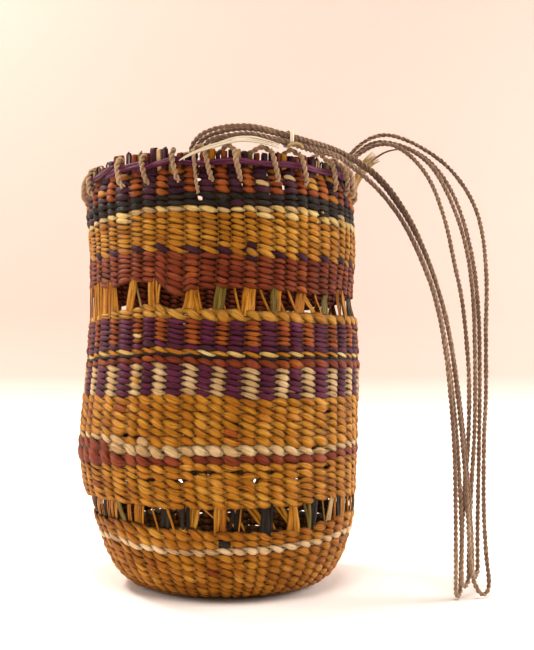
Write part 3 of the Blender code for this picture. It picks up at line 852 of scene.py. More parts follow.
def nearest_warp(degrees, length, offset=0.0):
    """The number of the warp nearest a place, and its angle there. Gaps are offset by 0.5."""
    angles = [drifted(math.tau * (i + offset) / WARPS, length) for i in range(WARPS)]
    turns = [abs(short_way(angle - math.radians(degrees))) for angle in angles]
    nearest = turns.index(min(turns))
    return nearest, angles[nearest]


def hole_places():
    """Each hole's length up the wall and angle, moved to the nearest gap between two warps."""
    places = []
    for degrees, height, half in HOLES:
        length = length_at(height * MM)
        places.append((length, nearest_warp(degrees, length, 0.5)[1], half))
    return places


def mend_places():
    """Each mended stitch's length up the wall, nearest warp and dye."""
    places = []
    for degrees, height, dye in MENDED_STITCHES:
        length = length_at(height * MM)
        places.append((length, nearest_warp(degrees, length)[0], dye))
    return places


HOLE_PLACES = hole_places()
MEND_PLACES = mend_places()
PULLS = {
    height: list(zip(angles, pulls))
    for angles, edges in EDGE_PULLS
    for height, pulls in edges.items()
}


def holes_near(length, angle, width, height, reach=4):
    """How far a place is from each hole near it, in widths round and heights up, and its half."""
    for hole_length, hole_angle, half in HOLE_PLACES:
        across = short_way(angle - hole_angle) / width
        if abs(across) < reach:
            yield across, (length - hole_length) / height, half


def parted_by_holes(length, angle):
    """How far up or down the stitches near a hole are pushed."""
    push = 0.0
    for across, above, half in holes_near(length, angle, HOLE_WIDTH, PUSH_HEIGHT):
        push += math.copysign(half, above) * math.exp(-(across**2) - above**2) * MM
    return push


def looseness(length, angle):
    """How far the strands' crossings are from closing: 0 where they close, 1 in a hole."""
    loose = 0.0
    for across, above, _ in holes_near(length, angle, HOLE_WIDTH, HOLE_HEIGHT):
        loose = max(loose, math.exp(-(across**2) - above**2))
    # The foot is worked more openly, most of all at the back
    below_top = max(0, (FOOT_LENGTH - length) / (6 * MM))
    foot = min(1, below_top, max(0, (length - BASE_LENGTH) / (8 * MM)))
    behind = 0.5 - 0.5 * math.cos(angle)
    patchy = min(1, 0.7 + 0.5 * math.sin(7.3 * angle) * math.sin(400 * length + 2 * angle))
    return max(loose, foot * (0.25 + 0.75 * behind) * patchy)


def mend_at(length, pitch, angle):
    """The number of a mended stitch's dye, or 0. Numbers are odd, so that none is halfway to one."""
    warp = round(angle * WARPS / math.tau) % WARPS
    for mend_length, mend_warp, dye in MEND_PLACES:
        if warp == mend_warp and abs(length - mend_length) < pitch / 2:
            return 2 * dye - 1
    return 0


def edge_length(height_mm, angle):
    """The length up the outline of an edge between two bands, at an angle."""
    pull = eased(PULLS.get(height_mm), math.degrees(angle)) * MM
    return length_at(height_mm * MM) + pull


def ring_length(length, angle):
    """The length up the outline of an edge between two rings of the base: the same all round."""
    return length


# Node trees


def new_tree(name, sockets, numbers=(), directions=()):
    """An empty tree with named inputs, and what they give: the lines as curves, what each of the
    lines' points carries, and the other inputs' values."""
    tree = bpy.data.node_groups.new(name, "GeometryNodeTree")
    tree.interface.new_socket("Geometry", in_out="OUTPUT", socket_type="NodeSocketGeometry")
    tree.interface.new_socket("Lines", in_out="INPUT", socket_type="NodeSocketGeometry")
    for label, kind in sockets.items():
        tree.interface.new_socket(label, in_out="INPUT", socket_type="NodeSocket" + kind)
    given = add(tree, "NodeGroupInput").outputs
    lines = add(tree, "GeometryNodeMeshToCurve", {"Mesh": given["Lines"]})
    named = {}
    for kind, labels in (("FLOAT", numbers), ("FLOAT_VECTOR", directions)):
        for label in labels:
            named[label] = add(tree, "GeometryNodeInputNamedAttribute", {"Name": label},
                               data_type=kind)
    return tree, lines, named, given


def finish_tree(tree, mesh, materials):
    """Realizes, shades smooth, and sets each material on the faces that its field selects."""
    mesh = add(tree, "GeometryNodeRealizeInstances", [mesh])
    mesh = add(tree, "GeometryNodeSetShadeSmooth", {"Geometry": mesh})
    for selection, material in materials:
        mesh = add(tree, "GeometryNodeSetMaterial", {"Geometry": mesh, "Selection": selection,
                                                     "Material": material})
    add(tree, "NodeGroupOutput", {"Geometry": mesh})
    return tree


def profile(tree, sides, thickness, width):
    """The outline of a strip: a round one pressed flat. Its unit circle is kept for the materials."""
    circle = add(tree, "GeometryNodeCurvePrimitiveCircle", {"Resolution": sides, "Radius": 1})
    place = add(tree, "GeometryNodeInputPosition")
    circle = add(tree, STORE, {"Geometry": circle, "Name": "around", "Value": place},
                 data_type="FLOAT_VECTOR")
    size = add(tree, "ShaderNodeCombineXYZ", [thickness, width, 1])
    return add(tree, "GeometryNodeTransform", {"Geometry": circle, "Scale": size})


def twining_tree():
    """Two strands twined along each line: while one is in front of a warp, the other is behind."""
    tree, lines, named, given = new_tree("Twining", {
        "Fullness": "Float", "Flatness": "Float", "Swing": "Float", "Climb": "Float",
        "Unevenness": "Float", "Odd share": "Float", "Seed": "Int",
        "First dye": "Material", "Second dye": "Material", "Odd dye": "Material",
        **{f"Mend {i + 1}": "Material" for i in range(len(MEND_DYES))},
    }, ("phase", "row", "pitch", "slant", "loose", "mend"), ("outward", "upward"))
    pair = add(tree, "GeometryNodeDuplicateElements", {"Geometry": lines, "Amount": 2},
               domain="SPLINE")
    strand = pair.outputs["Duplicate Index"]
    turn = add(tree, MATH, [strand, math.pi, named["phase"]], operation="MULTIPLY_ADD")
    front = add(tree, MATH, [turn], operation="COSINE")

    # Each stitch has its own random numbers. One in front is taken a little past the crossing,
    # so that its point keeps its colour.
    turns = add(tree, MATH, [turn, 1 / math.tau], operation="MULTIPLY")
    nearest = add(tree, MATH, [turns], operation="ROUND")
    below = add(tree, MATH, [turns], operation="FLOOR")
    behind = add(tree, MATH, [front, -0.4], operation="LESS_THAN")
    stitch = add(tree, "ShaderNodeMix", {"Factor": behind, "A": nearest, "B": below},
                 data_type="FLOAT")
    for digit in (behind, strand):
        stitch = add(tree, MATH, [stitch, 2.0, digit], operation="MULTIPLY_ADD")
    stitch = add(tree, MATH, [named["row"], ROW_STEP, stitch], operation="MULTIPLY_ADD")
    chances = {}
    for i, name in enumerate(["swing", "lift", "width", "tone", "slant", "odd"]):
        seed = add(tree, MATH, [given["Seed"], i * SEED_STEP])
        chance = add(tree, RANDOM, {"ID": stitch, "Seed": seed}, data_type="FLOAT")
        if name not in ("tone", "odd"):
            # To either side of 0, by up to half the unevenness
            chance = add(tree, MATH, [chance, 0.5], operation="SUBTRACT")
            chance = add(tree, MATH, [chance, given["Unevenness"]], operation="MULTIPLY")
        chances[name] = chance

    # The strand's place: in and out of the wall, and down across each stitch
    swing = add(tree, MATH, [chances["swing"], 1.0])
    # Steep stitches lie flatter, so a row of them reads as one rope
    flatter = add(tree, MATH, [named["slant"], -0.4, 1.3], operation="MULTIPLY_ADD")
    # A strand stays well forward over its warp and passes quickly through the crossing
    over = add(tree, MATH, [front], operation="ABSOLUTE")
    depth = add(tree, MATH, [over, 0.6], operation="POWER")
    side = add(tree, MATH, [front], operation="SIGN")
    for factor in (given["Swing"], flatter, depth, side):
        swing = add(tree, MATH, [swing, factor], operation="MULTIPLY")
    outward = add(tree, VECTOR_MATH, {"Vector": named["outward"], "Scale": swing}, operation="SCALE")
    steep = add(tree, MATH, [chances["slant"], named["slant"]])
    gap = add(tree, MATH, [named["loose"], -0.75, 1.0], operation="MULTIPLY_ADD")
    down = add(tree, MATH, [turn], operation="SINE")
    for factor in (given["Climb"], steep, gap):
        down = add(tree, MATH, [down, factor], operation="MULTIPLY")
    full = add(tree, MATH, [front, front], operation="MULTIPLY")
    lift = add(tree, MATH, [chances["lift"], full], operation="MULTIPLY")
    lift = add(tree, MATH, [lift, 0.4, down], operation="MULTIPLY_ADD")
    lift = add(tree, MATH, [lift, named["pitch"]], operation="MULTIPLY")
    upward = add(tree, VECTOR_MATH, {"Vector": named["upward"], "Scale": lift}, operation="SCALE")
    moved = add(tree, VECTOR_MATH, [outward, upward], operation="ADD")
    # A slow waver, so that no row is a true circle
    here = add(tree, "GeometryNodeInputPosition")
    waver = add(tree, NOISE, {"Vector": here, "Scale": 22, "Detail": 1})
    waver = add(tree, VECTOR_MATH, [waver.outputs["Color"], (0.5, 0.5, 0.5)], operation="SUBTRACT")
    moved = add(tree, VECTOR_MATH, [waver, ROW_WAVER, moved], operation="MULTIPLY_ADD")
    strands = add(tree, "GeometryNodeSetPosition", {"Geometry": pair, "Offset": moved})

    # The strand's girth: full over each warp, drawn in where the two strands cross
    over = add(tree, MATH, [over, 0.85], operation="POWER")
    narrow = add(tree, MATH, [named["slant"], 0.18, 0.28], operation="MULTIPLY_ADD")
    narrow = add(tree, MATH, [named["loose"], -0.22, narrow], operation="MULTIPLY_ADD")
    wide = add(tree, MATH, [chances["width"], 0.4, 1.0], operation="MULTIPLY_ADD")
    wide = add(tree, MATH, [wide, narrow], operation="SUBTRACT")
    girth = add(tree, MATH, [wide, over, narrow], operation="MULTIPLY_ADD")
    for factor in (named["pitch"], given["Fullness"]):
        girth = add(tree, MATH, [girth, factor], operation="MULTIPLY")
    # Where the strand goes behind its warp: the leaf material paints shade there
    hollow = add(tree, MATH, [1.0, full], operation="SUBTRACT")

    strands = add(tree, "GeometryNodeSetCurveNormal",
                  {"Curve": strands, "Normal": named["outward"]}, mode="FREE")
    travel = add(tree, "GeometryNodeSplineParameter")
    for name, value in [("along", travel.outputs["Length"]), ("stitch", chances["tone"]),
                        ("hollow", hollow)]:
        strands = add(tree, STORE, {"Geometry": strands, "Name": name, "Value": value})
    mesh = add(tree, "GeometryNodeCurveToMesh", {
        "Curve": strands, "Profile Curve": profile(tree, 7, given["Flatness"], 1.0),
        "Scale": girth, "Fill Caps": True,
    })
    second = add(tree, COMPARE, {"A": strand, "B": 1}, data_type="INT", operation="EQUAL")
    odd = add(tree, COMPARE, {"A": chances["odd"], "B": given["Odd share"]},
              operation="LESS_THAN")
    dyes = [(True, given["First dye"]), (second, given["Second dye"]), (odd, given["Odd dye"])]
    for i in range(len(MEND_DYES)):
        mended = add(tree, COMPARE, {"A": named["mend"], "B": 2.0 * i + 1, "Epsilon": 0.04},
                     operation="EQUAL")
        dyes.append((mended, given[f"Mend {i + 1}"]))
    return finish_tree(tree, mesh, dyes)


def strip_tree():
    """Flat strips laid side by side along each line, fanned out by the line's own spread."""
    tree, lines, named, given = new_tree("Flat strips", {
        "Width": "Float", "Width variation": "Float", "Thickness": "Float",
        "Looseness": "Float", "Tilt": "Float", "Mixed share": "Float", "Seed": "Int",
        **{f"Dye {i}": "Material" for i in range(DYES_IN_A_BUNDLE)},
    }, ("line", "strips", "spread", "taper", "dye"), ("outward", "sideways"))
    many = add(tree, "GeometryNodeDuplicateElements",
               {"Geometry": lines, "Amount": named["strips"]}, domain="SPLINE")
    strip = many.outputs["Duplicate Index"]
    label = add(tree, MATH, [named["line"], LINE_STEP, strip], operation="MULTIPLY_ADD")
    chances = {}
    for i, name in enumerate(["lean", "tone", "width", "mixed"]):
        seed = add(tree, MATH, [given["Seed"], i * SEED_STEP])
        chances[name] = add(tree, RANDOM, {"ID": label, "Seed": seed}, data_type="FLOAT")

    # Side by side across the line's spread, each strip wavering on its own
    last = add(tree, MATH, [named["strips"], 1.0], operation="SUBTRACT")
    last = add(tree, MATH, [last, 1.0], operation="MAXIMUM")
    share = add(tree, MATH, [strip, last], operation="DIVIDE")
    share = add(tree, MAP_RANGE, {"Value": share, "To Min": -1.0, "To Max": 1.0})
    fan = add(tree, MATH, [share, named["spread"]], operation="MULTIPLY")
    sideways = add(tree, VECTOR_MATH, {"Vector": named["sideways"], "Scale": fan}, operation="SCALE")
    here = add(tree, "GeometryNodeInputPosition")
    apart = add(tree, VECTOR_MATH, [here, label], operation="ADD")
    waver = add(tree, NOISE, {"Vector": apart, "Scale": 90, "Detail": 1})
    waver = add(tree, VECTOR_MATH, [waver.outputs["Color"], (0.5, 0.5, 0.5)], operation="SUBTRACT")
    waver = add(tree, VECTOR_MATH, {"Vector": waver, "Scale": given["Looseness"]}, operation="SCALE")
    moved = add(tree, VECTOR_MATH, [sideways, waver], operation="ADD")
    strips = add(tree, "GeometryNodeSetPosition", {"Geometry": many, "Offset": moved})

    # Each turned a little on its own length
    lean = add(tree, MAP_RANGE, {"Value": chances["lean"], "To Min": -1.0, "To Max": 1.0})
    lean = add(tree, MATH, [lean, given["Tilt"]], operation="MULTIPLY")
    facing = add(tree, VECTOR_MATH, {"Vector": named["sideways"], "Scale": lean}, operation="SCALE")
    facing = add(tree, VECTOR_MATH, [facing, named["outward"]], operation="ADD")
    facing = add(tree, VECTOR_MATH, [facing], operation="NORMALIZE")
    strips = add(tree, "GeometryNodeSetCurveNormal", {"Curve": strips, "Normal": facing},
                 mode="FREE")
    travel = add(tree, "GeometryNodeSplineParameter")
    for name, value in [("along", travel.outputs["Length"]), ("stitch", chances["tone"])]:
        strips = add(tree, STORE, {"Geometry": strips, "Name": name, "Value": value})
    size = add(tree, MAP_RANGE, {"Value": chances["width"], "To Min": -1.0, "To Max": 1.0})
    size = add(tree, MATH, [size, given["Width variation"], 1.0], operation="MULTIPLY_ADD")
    size = add(tree, MATH, [size, named["taper"]], operation="MULTIPLY")
    mesh = add(tree, "GeometryNodeCurveToMesh", {
        "Curve": strips, "Profile Curve": profile(tree, 6, given["Thickness"], given["Width"]),
        "Scale": size, "Fill Caps": True,
    })
    mixed = add(tree, COMPARE, {"A": chances["mixed"], "B": given["Mixed share"]},
                operation="LESS_THAN")
    dyes = [(True, given["Dye 0"])]
    for i in range(1, DYES_IN_A_BUNDLE):
        chosen = add(tree, COMPARE, {"A": named["dye"], "B": i - 0.5}, operation="GREATER_THAN")
        dyes.append((chosen, given[f"Dye {i}"]))
    return finish_tree(tree, mesh, [*dyes, (mixed, given["Dye 1"])])


def two_ply_tree():
    """Two plies wound round each other along each line."""
    tree, lines, _, given = new_tree("Two-ply string", {
        "Ply radius": "Float", "Winding radius": "Float", "Turn length": "Float",
        "Points per turn": "Float", "Material": "Material",
    })
    step = add(tree, MATH, [given["Turn length"], given["Points per turn"]], operation="DIVIDE")
    lines = add(tree, "GeometryNodeResampleCurve", {"Curve": lines, "Length": step}, mode="LENGTH")
    pair = add(tree, "GeometryNodeDuplicateElements", {"Geometry": lines, "Amount": 2},
               domain="SPLINE")
    travel = add(tree, "GeometryNodeSplineParameter")
    turns = add(tree, MATH, [travel.outputs["Length"], given["Turn length"]], operation="DIVIDE")
    half = add(tree, MATH, [pair.outputs["Duplicate Index"], 0.5, turns], operation="MULTIPLY_ADD")
    angle = add(tree, MATH, [half, math.tau], operation="MULTIPLY")
    tangent = add(tree, "GeometryNodeInputTangent")
    turned = add(tree, "FunctionNodeAxisAngleToRotation", {"Axis": tangent, "Angle": angle})
    normal = add(tree, "GeometryNodeInputNormal")
    aside = add(tree, "FunctionNodeRotateVector", {"Vector": normal, "Rotation": turned})
    offset = add(tree, VECTOR_MATH, {"Vector": aside, "Scale": given["Winding radius"]},
                 operation="SCALE")
    plies = add(tree, "GeometryNodeSetPosition", {"Geometry": pair, "Offset": offset})
    # Hand-rolled, so the plies thicken and thin every centimetre or so
    here = add(tree, "GeometryNodeInputPosition")
    lumps = add(tree, NOISE, {"Vector": here, "Scale": 130, "Detail": 1})
    girth = add(tree, MAP_RANGE, {
        "Value": lumps, "From Min": 0.3, "From Max": 0.7, "To Min": 0.84, "To Max": 1.14})
    length = travel.outputs["Length"]
    plies = add(tree, STORE, {"Geometry": plies, "Name": "along", "Value": length})
    mesh = add(tree, "GeometryNodeCurveToMesh", {
        "Curve": plies,
        "Profile Curve": profile(tree, 6, given["Ply radius"], given["Ply radius"]),
        "Scale": girth, "Fill Caps": True,
    })
    return finish_tree(tree, mesh, [(True, given["Material"])])


def hair_tree():
    """Short loose fibres standing off each line."""
    tree, lines, _, given = new_tree("Loose fibres", {
        "Spacing": "Float", "Length": "Float", "Thickness": "Float", "Seed": "Int",
        "Material": "Material",
    })
    lines = add(tree, "GeometryNodeResampleCurve", {"Curve": lines, "Length": given["Spacing"]},
                mode="LENGTH")
    points = add(tree, "GeometryNodeCurveToPoints", {"Curve": lines}, mode="EVALUATED")
    bent = add(tree, "GeometryNodeCurveQuadraticBezier", {
        "Resolution": 3, "Start": (0, 0, 0), "Middle": (0.15, 0, 0.6), "End": (0.6, 0, 0.8)})
    spin = add(tree, RANDOM, {"Min": (0, 0, 0), "Max": (math.tau,) * 3, "Seed": given["Seed"]},
               data_type="FLOAT_VECTOR")
    turned = add(tree, "FunctionNodeEulerToRotation", [spin])
    shortest = add(tree, MATH, [given["Length"], 0.5], operation="MULTIPLY")
    longest = add(tree, MATH, [given["Length"], 1.8], operation="MULTIPLY")
    size = add(tree, RANDOM, {"Min": shortest, "Max": longest, "Seed": given["Seed"]},
               data_type="FLOAT")
    hairs = add(tree, "GeometryNodeInstanceOnPoints", {
        "Points": points, "Instance": bent, "Rotation": turned, "Scale": size})
    hairs = add(tree, "GeometryNodeRealizeInstances", [hairs])
    travel = add(tree, "GeometryNodeSplineParameter")
    length = travel.outputs["Length"]
    hairs = add(tree, STORE, {"Geometry": hairs, "Name": "along", "Value": length})
    thin = add(tree, MAP_RANGE, {"Value": travel.outputs["Factor"], "To Min": 1.0, "To Max": 0.35})
    mesh = add(tree, "GeometryNodeCurveToMesh", {
        "Curve": hairs, "Profile Curve": profile(tree, 3, given["Thickness"], given["Thickness"]),
        "Scale": thin,
    })
    return finish_tree(tree, mesh, [(True, given["Material"])])


# Pieces


def row_lines(rows, warps, bottom, top, first_row, slant, begin=-180.0, end=180.0):
    """Guide lines for rows of twining. bottom and top give an edge's length at an angle."""
    step = math.tau / warps / POINTS_PER_STITCH
    # Rows begin and end between two warps, and a whole ring's seam is at the back
    first = round(math.radians(begin) * warps / math.tau - 0.5) * POINTS_PER_STITCH
    last = round(math.radians(end) * warps / math.tau - 0.5) * POINTS_PER_STITCH
    if end - begin < 360:
        first -= 2
        last += 2
    lines = []
    for row in range(rows):
        line = []
        for i in range(first, last):
            angle = math.pi / warps + (i + 0.5) * step
            low = bottom(short_way(angle))
            pitch = (top(short_way(angle)) - low) / rows
            length = low + (row + 0.5) * pitch
            actual = drifted(angle, length)
            loose = looseness(length, actual)
            mend = mend_at(length, pitch, angle) if warps == WARPS else 0
            length += parted_by_holes(length, actual)
            place, outward, upward, _ = on_wall(length, actual)
            line.append({"place": place, "outward": outward, "upward": upward, "pitch": pitch,
                         "phase": angle * warps / 2, "row": first_row + row, "slant": slant,
                         "loose": loose, "mend": mend})
        lines.append(line)
    return lines


def make_twining(tree, finishes):
    """The base and the wall, band by band, joined into one piece for each stretch of wall."""
    mends = {f"Mend {i + 1}": finishes[dye] for i, dye in enumerate(MEND_DYES)}
    stretches = {}

    def twine(piece, lines, closed, first, second, odd, share):
        values = {**TWINING_SIZES, **mends, "Odd share": share, "First dye": finishes[first],
                  "Second dye": finishes[second], "Odd dye": finishes[odd]}
        made = grow(piece, lines, tree, values, closed=closed)
        stretches.setdefault(piece, []).append(made)

    row = 0
    below = partial(ring_length, BASE_HEART)
    for rows, outer_mm, warps in BASE_RINGS:
        above = partial(ring_length, outer_mm * MM)
        lines = row_lines(rows, warps, below, above, row, 1.0)
        twine("twined_base", lines, True, "brown_ochre", "brown_ochre", "ochre", 0.2)
        row += rows
        below = above

    for rows, top_mm, first, second, odd, share, slant, piece in BANDS:
        above = partial(edge_length, top_mm)
        if top_mm in ARCS:
            for begin, end, arc_rows, dye in ARCS[top_mm]:
                lines = row_lines(arc_rows, WARPS, below, above, row, slant, begin, end)
                twine(piece, lines, False, dye, dye, odd, share)
        elif rows:
            lines = row_lines(rows, WARPS, below, above, row, slant)
            twine(piece, lines, True, first, second, odd, share)
        row += rows
        below = above
    return [join(piece, parts) for piece, parts in stretches.items()]


def strip_point(place, outward, sideways, spread=0.0, taper=1.0, line=0, strips=1, dye=0):
    """A point of a line that flat strips follow, with how they fan out and narrow there."""
    return {"place": place, "outward": outward, "sideways": sideways, "spread": spread,
            "taper": taper, "line": line, "strips": strips, "dye": dye}


def lay_strips(name, lines, tree, finishes, dyes, sizes, closed=False):
    """Flat strips along guide lines. Their dyes are repeated until the tree's inputs are full."""
    values = {"Width variation": 0.3, "Looseness": 1.2 * MM, "Tilt": 0.3, "Mixed share": 0.0}
    values.update(sizes)
    for i in range(DYES_IN_A_BUNDLE):
        values[f"Dye {i}"] = finishes[dyes[i % len(dyes)]]
    return grow(name, lines, tree, values, closed)


def roll_string(name, route, tree, finish, sizes_mm, closed=False):
    """Two-ply string along a route."""
    ply, winding, turn = [size * MM for size in sizes_mm]
    return grow(name, [[{"place": point} for point in route]], tree, {
        "Ply radius": ply, "Winding radius": winding, "Turn length": turn, "Points per turn": 8.0,
        "Material": finish}, closed)


def warp_aside(length, angle):
    """How far round a warp near a hole is pushed, in radians."""
    push = 0.0
    near = holes_near(length, angle, WARP_PUSH_WIDTH, WARP_PUSH_HEIGHT, WARP_PUSH_REACH)
    for across, above, half in near:
        push += math.copysign(WARP_PUSH * half, across) * math.exp(-(across**2) - above**2)
    return push


def warp_line(start, end, angle, label):
    """A guide line up the wall between two lengths along its outline."""
    parts = max(2, round((end - start) / WARP_SPACING))
    line = []
    for i in range(parts + 1):
        length = start + (end - start) * i / parts
        actual = drifted(angle, length)
        actual += warp_aside(length, actual)
        place, outward, _, sideways = on_wall(length, actual, WARP_INSET)
        taper = 1 - 0.38 * looseness(length, actual)
        line.append(strip_point(place, outward, sideways, taper=taper, line=label))
    return line


def make_warps(tree, finishes):
    """The strips that the rows are twined over, from the base to the rim."""
    parts = []
    for low_mm, high_mm, width in WARP_STRETCHES:
        lines = []
        for i in range(WARPS):
            begin = length_at(low_mm * MM)
            if low_mm == 0:
                begin = WARP_STARTS_MM[i % 4] * MM
            lines.append(warp_line(begin, length_at(high_mm * MM), math.tau * i / WARPS, i))
        # The warps carry painted shade, the dark seen between the stitches, not their own colour
        parts.append(lay_strips("warps", lines, tree, finishes, ["shaded"], {
            "Width": width * MM, "Width variation": 0.06, "Thickness": 0.3 * MM,
            "Looseness": 0.3 * MM, "Tilt": 0.03, "Seed": 5}))
    return join("warps", parts)


def make_openwork(name, tree, finishes, bottom_mm, top_mm, bundles):
    """Bundles of bare warps across an openwork band. The leaning ones lie behind the others."""
    foot_length = length_at(bottom_mm * MM)
    top_length = length_at(top_mm * MM)
    placed = [(wall_angle(foot, foot_length), wall_angle(top, top_length), *rest)
              for foot, top, *rest in bundles]
    for i in range(HIDDEN_BUNDLES):
        angle = math.radians(HIDDEN_START_DEG + HIDDEN_STEP_DEG * i)
        placed.append((angle, angle, *HIDDEN_UPRIGHT, HIDDEN_DYES[i % len(HIDDEN_DYES)]))
        placed.append((angle + HIDDEN_LEAN, angle, *HIDDEN_LEANING))
    lines = []
    for i, (foot, top, strips, foot_spread, top_spread, dye) in enumerate(placed):
        deeper = BEHIND_INSET if abs(top - foot) > UPRIGHT_LEAN else IN_FRONT_INSET
        taper = 0.65 if strips == 1 else 1.0
        line = []
        # The strips reach into the rows below and above the band
        for part in range(-1, BUNDLE_PARTS + 2):
            t = part / BUNDLE_PARTS
            angle = foot + (top - foot) * t
            low = edge_length(bottom_mm, short_way(angle))
            high = edge_length(top_mm, short_way(angle))
            place, outward, _, sideways = on_wall(low + (high - low) * t, angle, deeper)
            spread = max(foot_spread + (top_spread - foot_spread) * t, 0.3) * MM
            line.append(strip_point(place, outward, sideways, spread, taper, i, strips, dye))
        lines.append(line)
    return lay_strips(name, lines, tree, finishes, BUNDLE_DYES, {
        "Width": 1.1 * MM, "Width variation": 0.35, "Thickness": 0.35 * MM, "Seed": 14})


def rim_point(radius_mm, height_mm, angle):
    """A point on a circle round the rim, and the directions away from its middle and round it."""
    turned = Matrix.Rotation(angle, 3, "Z")
    away = turned @ Vector((0, -1, 0))
    centre = Vector((RIM_LEAN, 0, height_mm * MM))
    return centre + away * radius_mm * MM, away, turned @ Vector((1, 0, 0))


def lashing_route():
    """One line of string: over the rim, down the front, in through the wall and up inside."""
    turns = []
    for turn in range(LASHING_TURNS + 1):
        even = LASHING_START_DEG + turn * 360 / LASHING_TURNS
        turns.append(math.radians(even + LASHING_SHIFTS.get(turn, 0)))
    route = []
    for turn, (start, following) in enumerate(zip(turns, turns[1:])):
        leg = [(start + math.radians(degrees), radius, height)
               for degrees, radius, height in LASHING_LEG]
        if turn in LASHING_LOW_TURNS:
            for angle, radius, height in leg[:-2]:
                drop = LASHING_DROP_MM if height > LASHING_TOP_MM else 0
                route.append(rim_point(radius, height - drop, angle)[0])
            route.append(rim_point(*LASHING_INSIDE_MM, (start + following) / 2)[0])
        else:
            leg.pop()
            for share, radius, height, varies in LASHING_ARCH:
                height += varies * math.sin(5.1 * turn)
                leg.append((start + share * (following - start), radius, height))
            route += [rim_point(radius, height, angle)[0] for angle, radius, height in leg]
    return smooth_route(route + route[:1], LASHING_SPACING)[:-1]


def make_rim(strips, plies, finishes):
    """The folded ends of the warps, the purple strand outside them and the lashing."""
    posts = []
    for i in range(2 * WARPS):
        angle = drifted(math.tau * (i + 0.5) / (2 * WARPS), RIM_LENGTH)
        # No two ends stand equally tall
        top = FOLD_TOP_MM + 0.9 * math.sin(7.3 * i) + 0.7 * math.sin(3.1 * i)
        top += eased(FOLD_RISES, math.degrees(short_way(angle)))
        fold = [(radius, top - below) for radius, below in FOLD_OVER]
        dye = FOLD_DYE_ORDER[i % len(FOLD_DYE_ORDER)]
        posts.append([strip_point(*rim_point(radius, height, angle), line=i, dye=dye)
                      for radius, height in FOLD_UP + fold + FOLD_DOWN])
    ends = lay_strips("folded_ends", posts, strips, finishes, FOLD_DYES, {
        "Width": 1.6 * MM, "Thickness": 0.45 * MM, "Mixed share": 0.1, "Seed": 4})

    lines = []
    for begin, end, climb in RIM_STRAND_LENGTHS:
        line = []
        steps = max(8, round((end - begin) / 1.5))
        for step in range(steps + 1):
            t = step / steps
            angle = math.radians(begin + (end - begin) * t)
            height = RIM_STRAND_HEIGHT_MM + climb * (t - 0.5) + 0.5 * math.sin(14 * angle)
            place, away, _ = rim_point(RIM_STRAND_RING_MM + 0.4 * t, height, angle)
            taper = min(1, 0.3 + 6 * t, 0.3 + 6 * (1 - t))
            line.append(strip_point(place, away, Vector((0, 0, 1)), 0.7 * MM, taper,
                                    len(lines), 2))
        lines.append(line)
    strand = lay_strips("rim_strand_strip", lines, strips, finishes, ["rim_purple", "purple"], {
        "Width": 1.1 * MM, "Thickness": 0.65 * MM, "Looseness": 1.0 * MM, "Mixed share": 0.1,
        "Seed": 4})

    finish = finishes["lashing_string"]
    lashing = roll_string("rim_lashing_string", lashing_route(), plies, finish, LASHING_PLIES,
                          closed=True)
    path = [rim_point(radius, height, math.radians(degrees))[0]
            for degrees, radius, height in LASHING_END]
    tail = roll_string("rim_lashing_end", smooth_route(path, LASHING_SPACING), plies, finish,
                       LASHING_END_PLIES)
    return ends, strand, join("rim_lashing_string", [lashing, tail])


def make_handle(plies, hairs, finishes):
    """The four strands, each with its loose hairs."""
    finish = finishes["handle_string"]
    made = []
    for i, (name, route) in enumerate(HANDLE_ROUTES.items()):
        path = smooth_route(in_metres(route), STRING_SPACING)
        fine = smooth_route(in_metres(route), FINE_SPACING)
        string = roll_string(name + "_string", fine, plies, finish, HANDLE_PLIES)
        hair = grow(name + "_hairs", [[{"place": point} for point in fine]], hairs, {
            "Spacing": 2.2 * MM, "Length": 2.4 * MM, "Thickness": 0.06 * MM, "Seed": 11 + i,
            "Material": finish})
        length = sum((end - start).length for start, end in zip(path, path[1:]))
        made.append((name, string, hair, path, length))
    return made


def make_loose_fibre(name, route_mm, tree, finishes, dye, strips, width_mm, spreads_mm, tapers):
    """A loose strip split into thinner ones. Its spreads and tapers are those of its two ends."""
    points = smooth_route(in_metres(route_mm), FINE_SPACING)
    outward = Vector((0.1, -1, 0.25)).normalized()
    last = len(points) - 1
    line = []
    for i, point in enumerate(points):
        t = i / last
        ahead = (points[min(i + 1, last)] - points[max(i - 1, 0)]).normalized()
        spread = (spreads_mm[0] + (spreads_mm[1] - spreads_mm[0]) * t) * MM
        taper = 1 - (1 - tapers[0]) * max(0, 1 - 4 * t) - (1 - tapers[1]) * max(0, 3 * t - 2)
        line.append(strip_point(point, outward, outward.cross(ahead), spread, taper,
                                strips=strips))
    return lay_strips(name, [line], tree, finishes, [dye], {
        "Width": width_mm * MM, "Thickness": 0.3 * MM, "Looseness": 1.0 * MM, "Seed": 6})


def make_tie(tree, finishes):
    """The pale strip wound round the four strands, and its free end."""
    turned = Matrix.Rotation(math.radians(TIE_TURN_DEG), 3, "Z")
    line = []
    for step in range(TIE_POINTS):
        angle = math.tau * step / TIE_POINTS
        sideways = math.copysign(math.sqrt(abs(math.cos(angle))), math.cos(angle))
        upwards = math.copysign(math.sqrt(abs(math.sin(angle))), math.sin(angle))
        across = turned @ Vector((TIE_HALF_WIDTH * sideways, 0, TIE_HALF_HEIGHT * upwards))
        line.append(strip_point(TIE_CENTRE + across, across.normalized(),
                                turned @ Vector((0, 1, 0)), 0.5 * MM, strips=2))
    loop = lay_strips("handle_tie_strip", [line], tree, finishes, ["undyed"], {
        "Width": 0.8 * MM, "Width variation": 0.1, "Thickness": 0.4 * MM,
        "Looseness": 0.4 * MM, "Tilt": 0.1, "Seed": 2}, closed=True)
    end = make_loose_fibre("tie_end", TIE_END_ROUTE, tree, finishes, *TIE_END_STRIPS)
    return join("handle_tie_strip", [loop, end])


# Studio


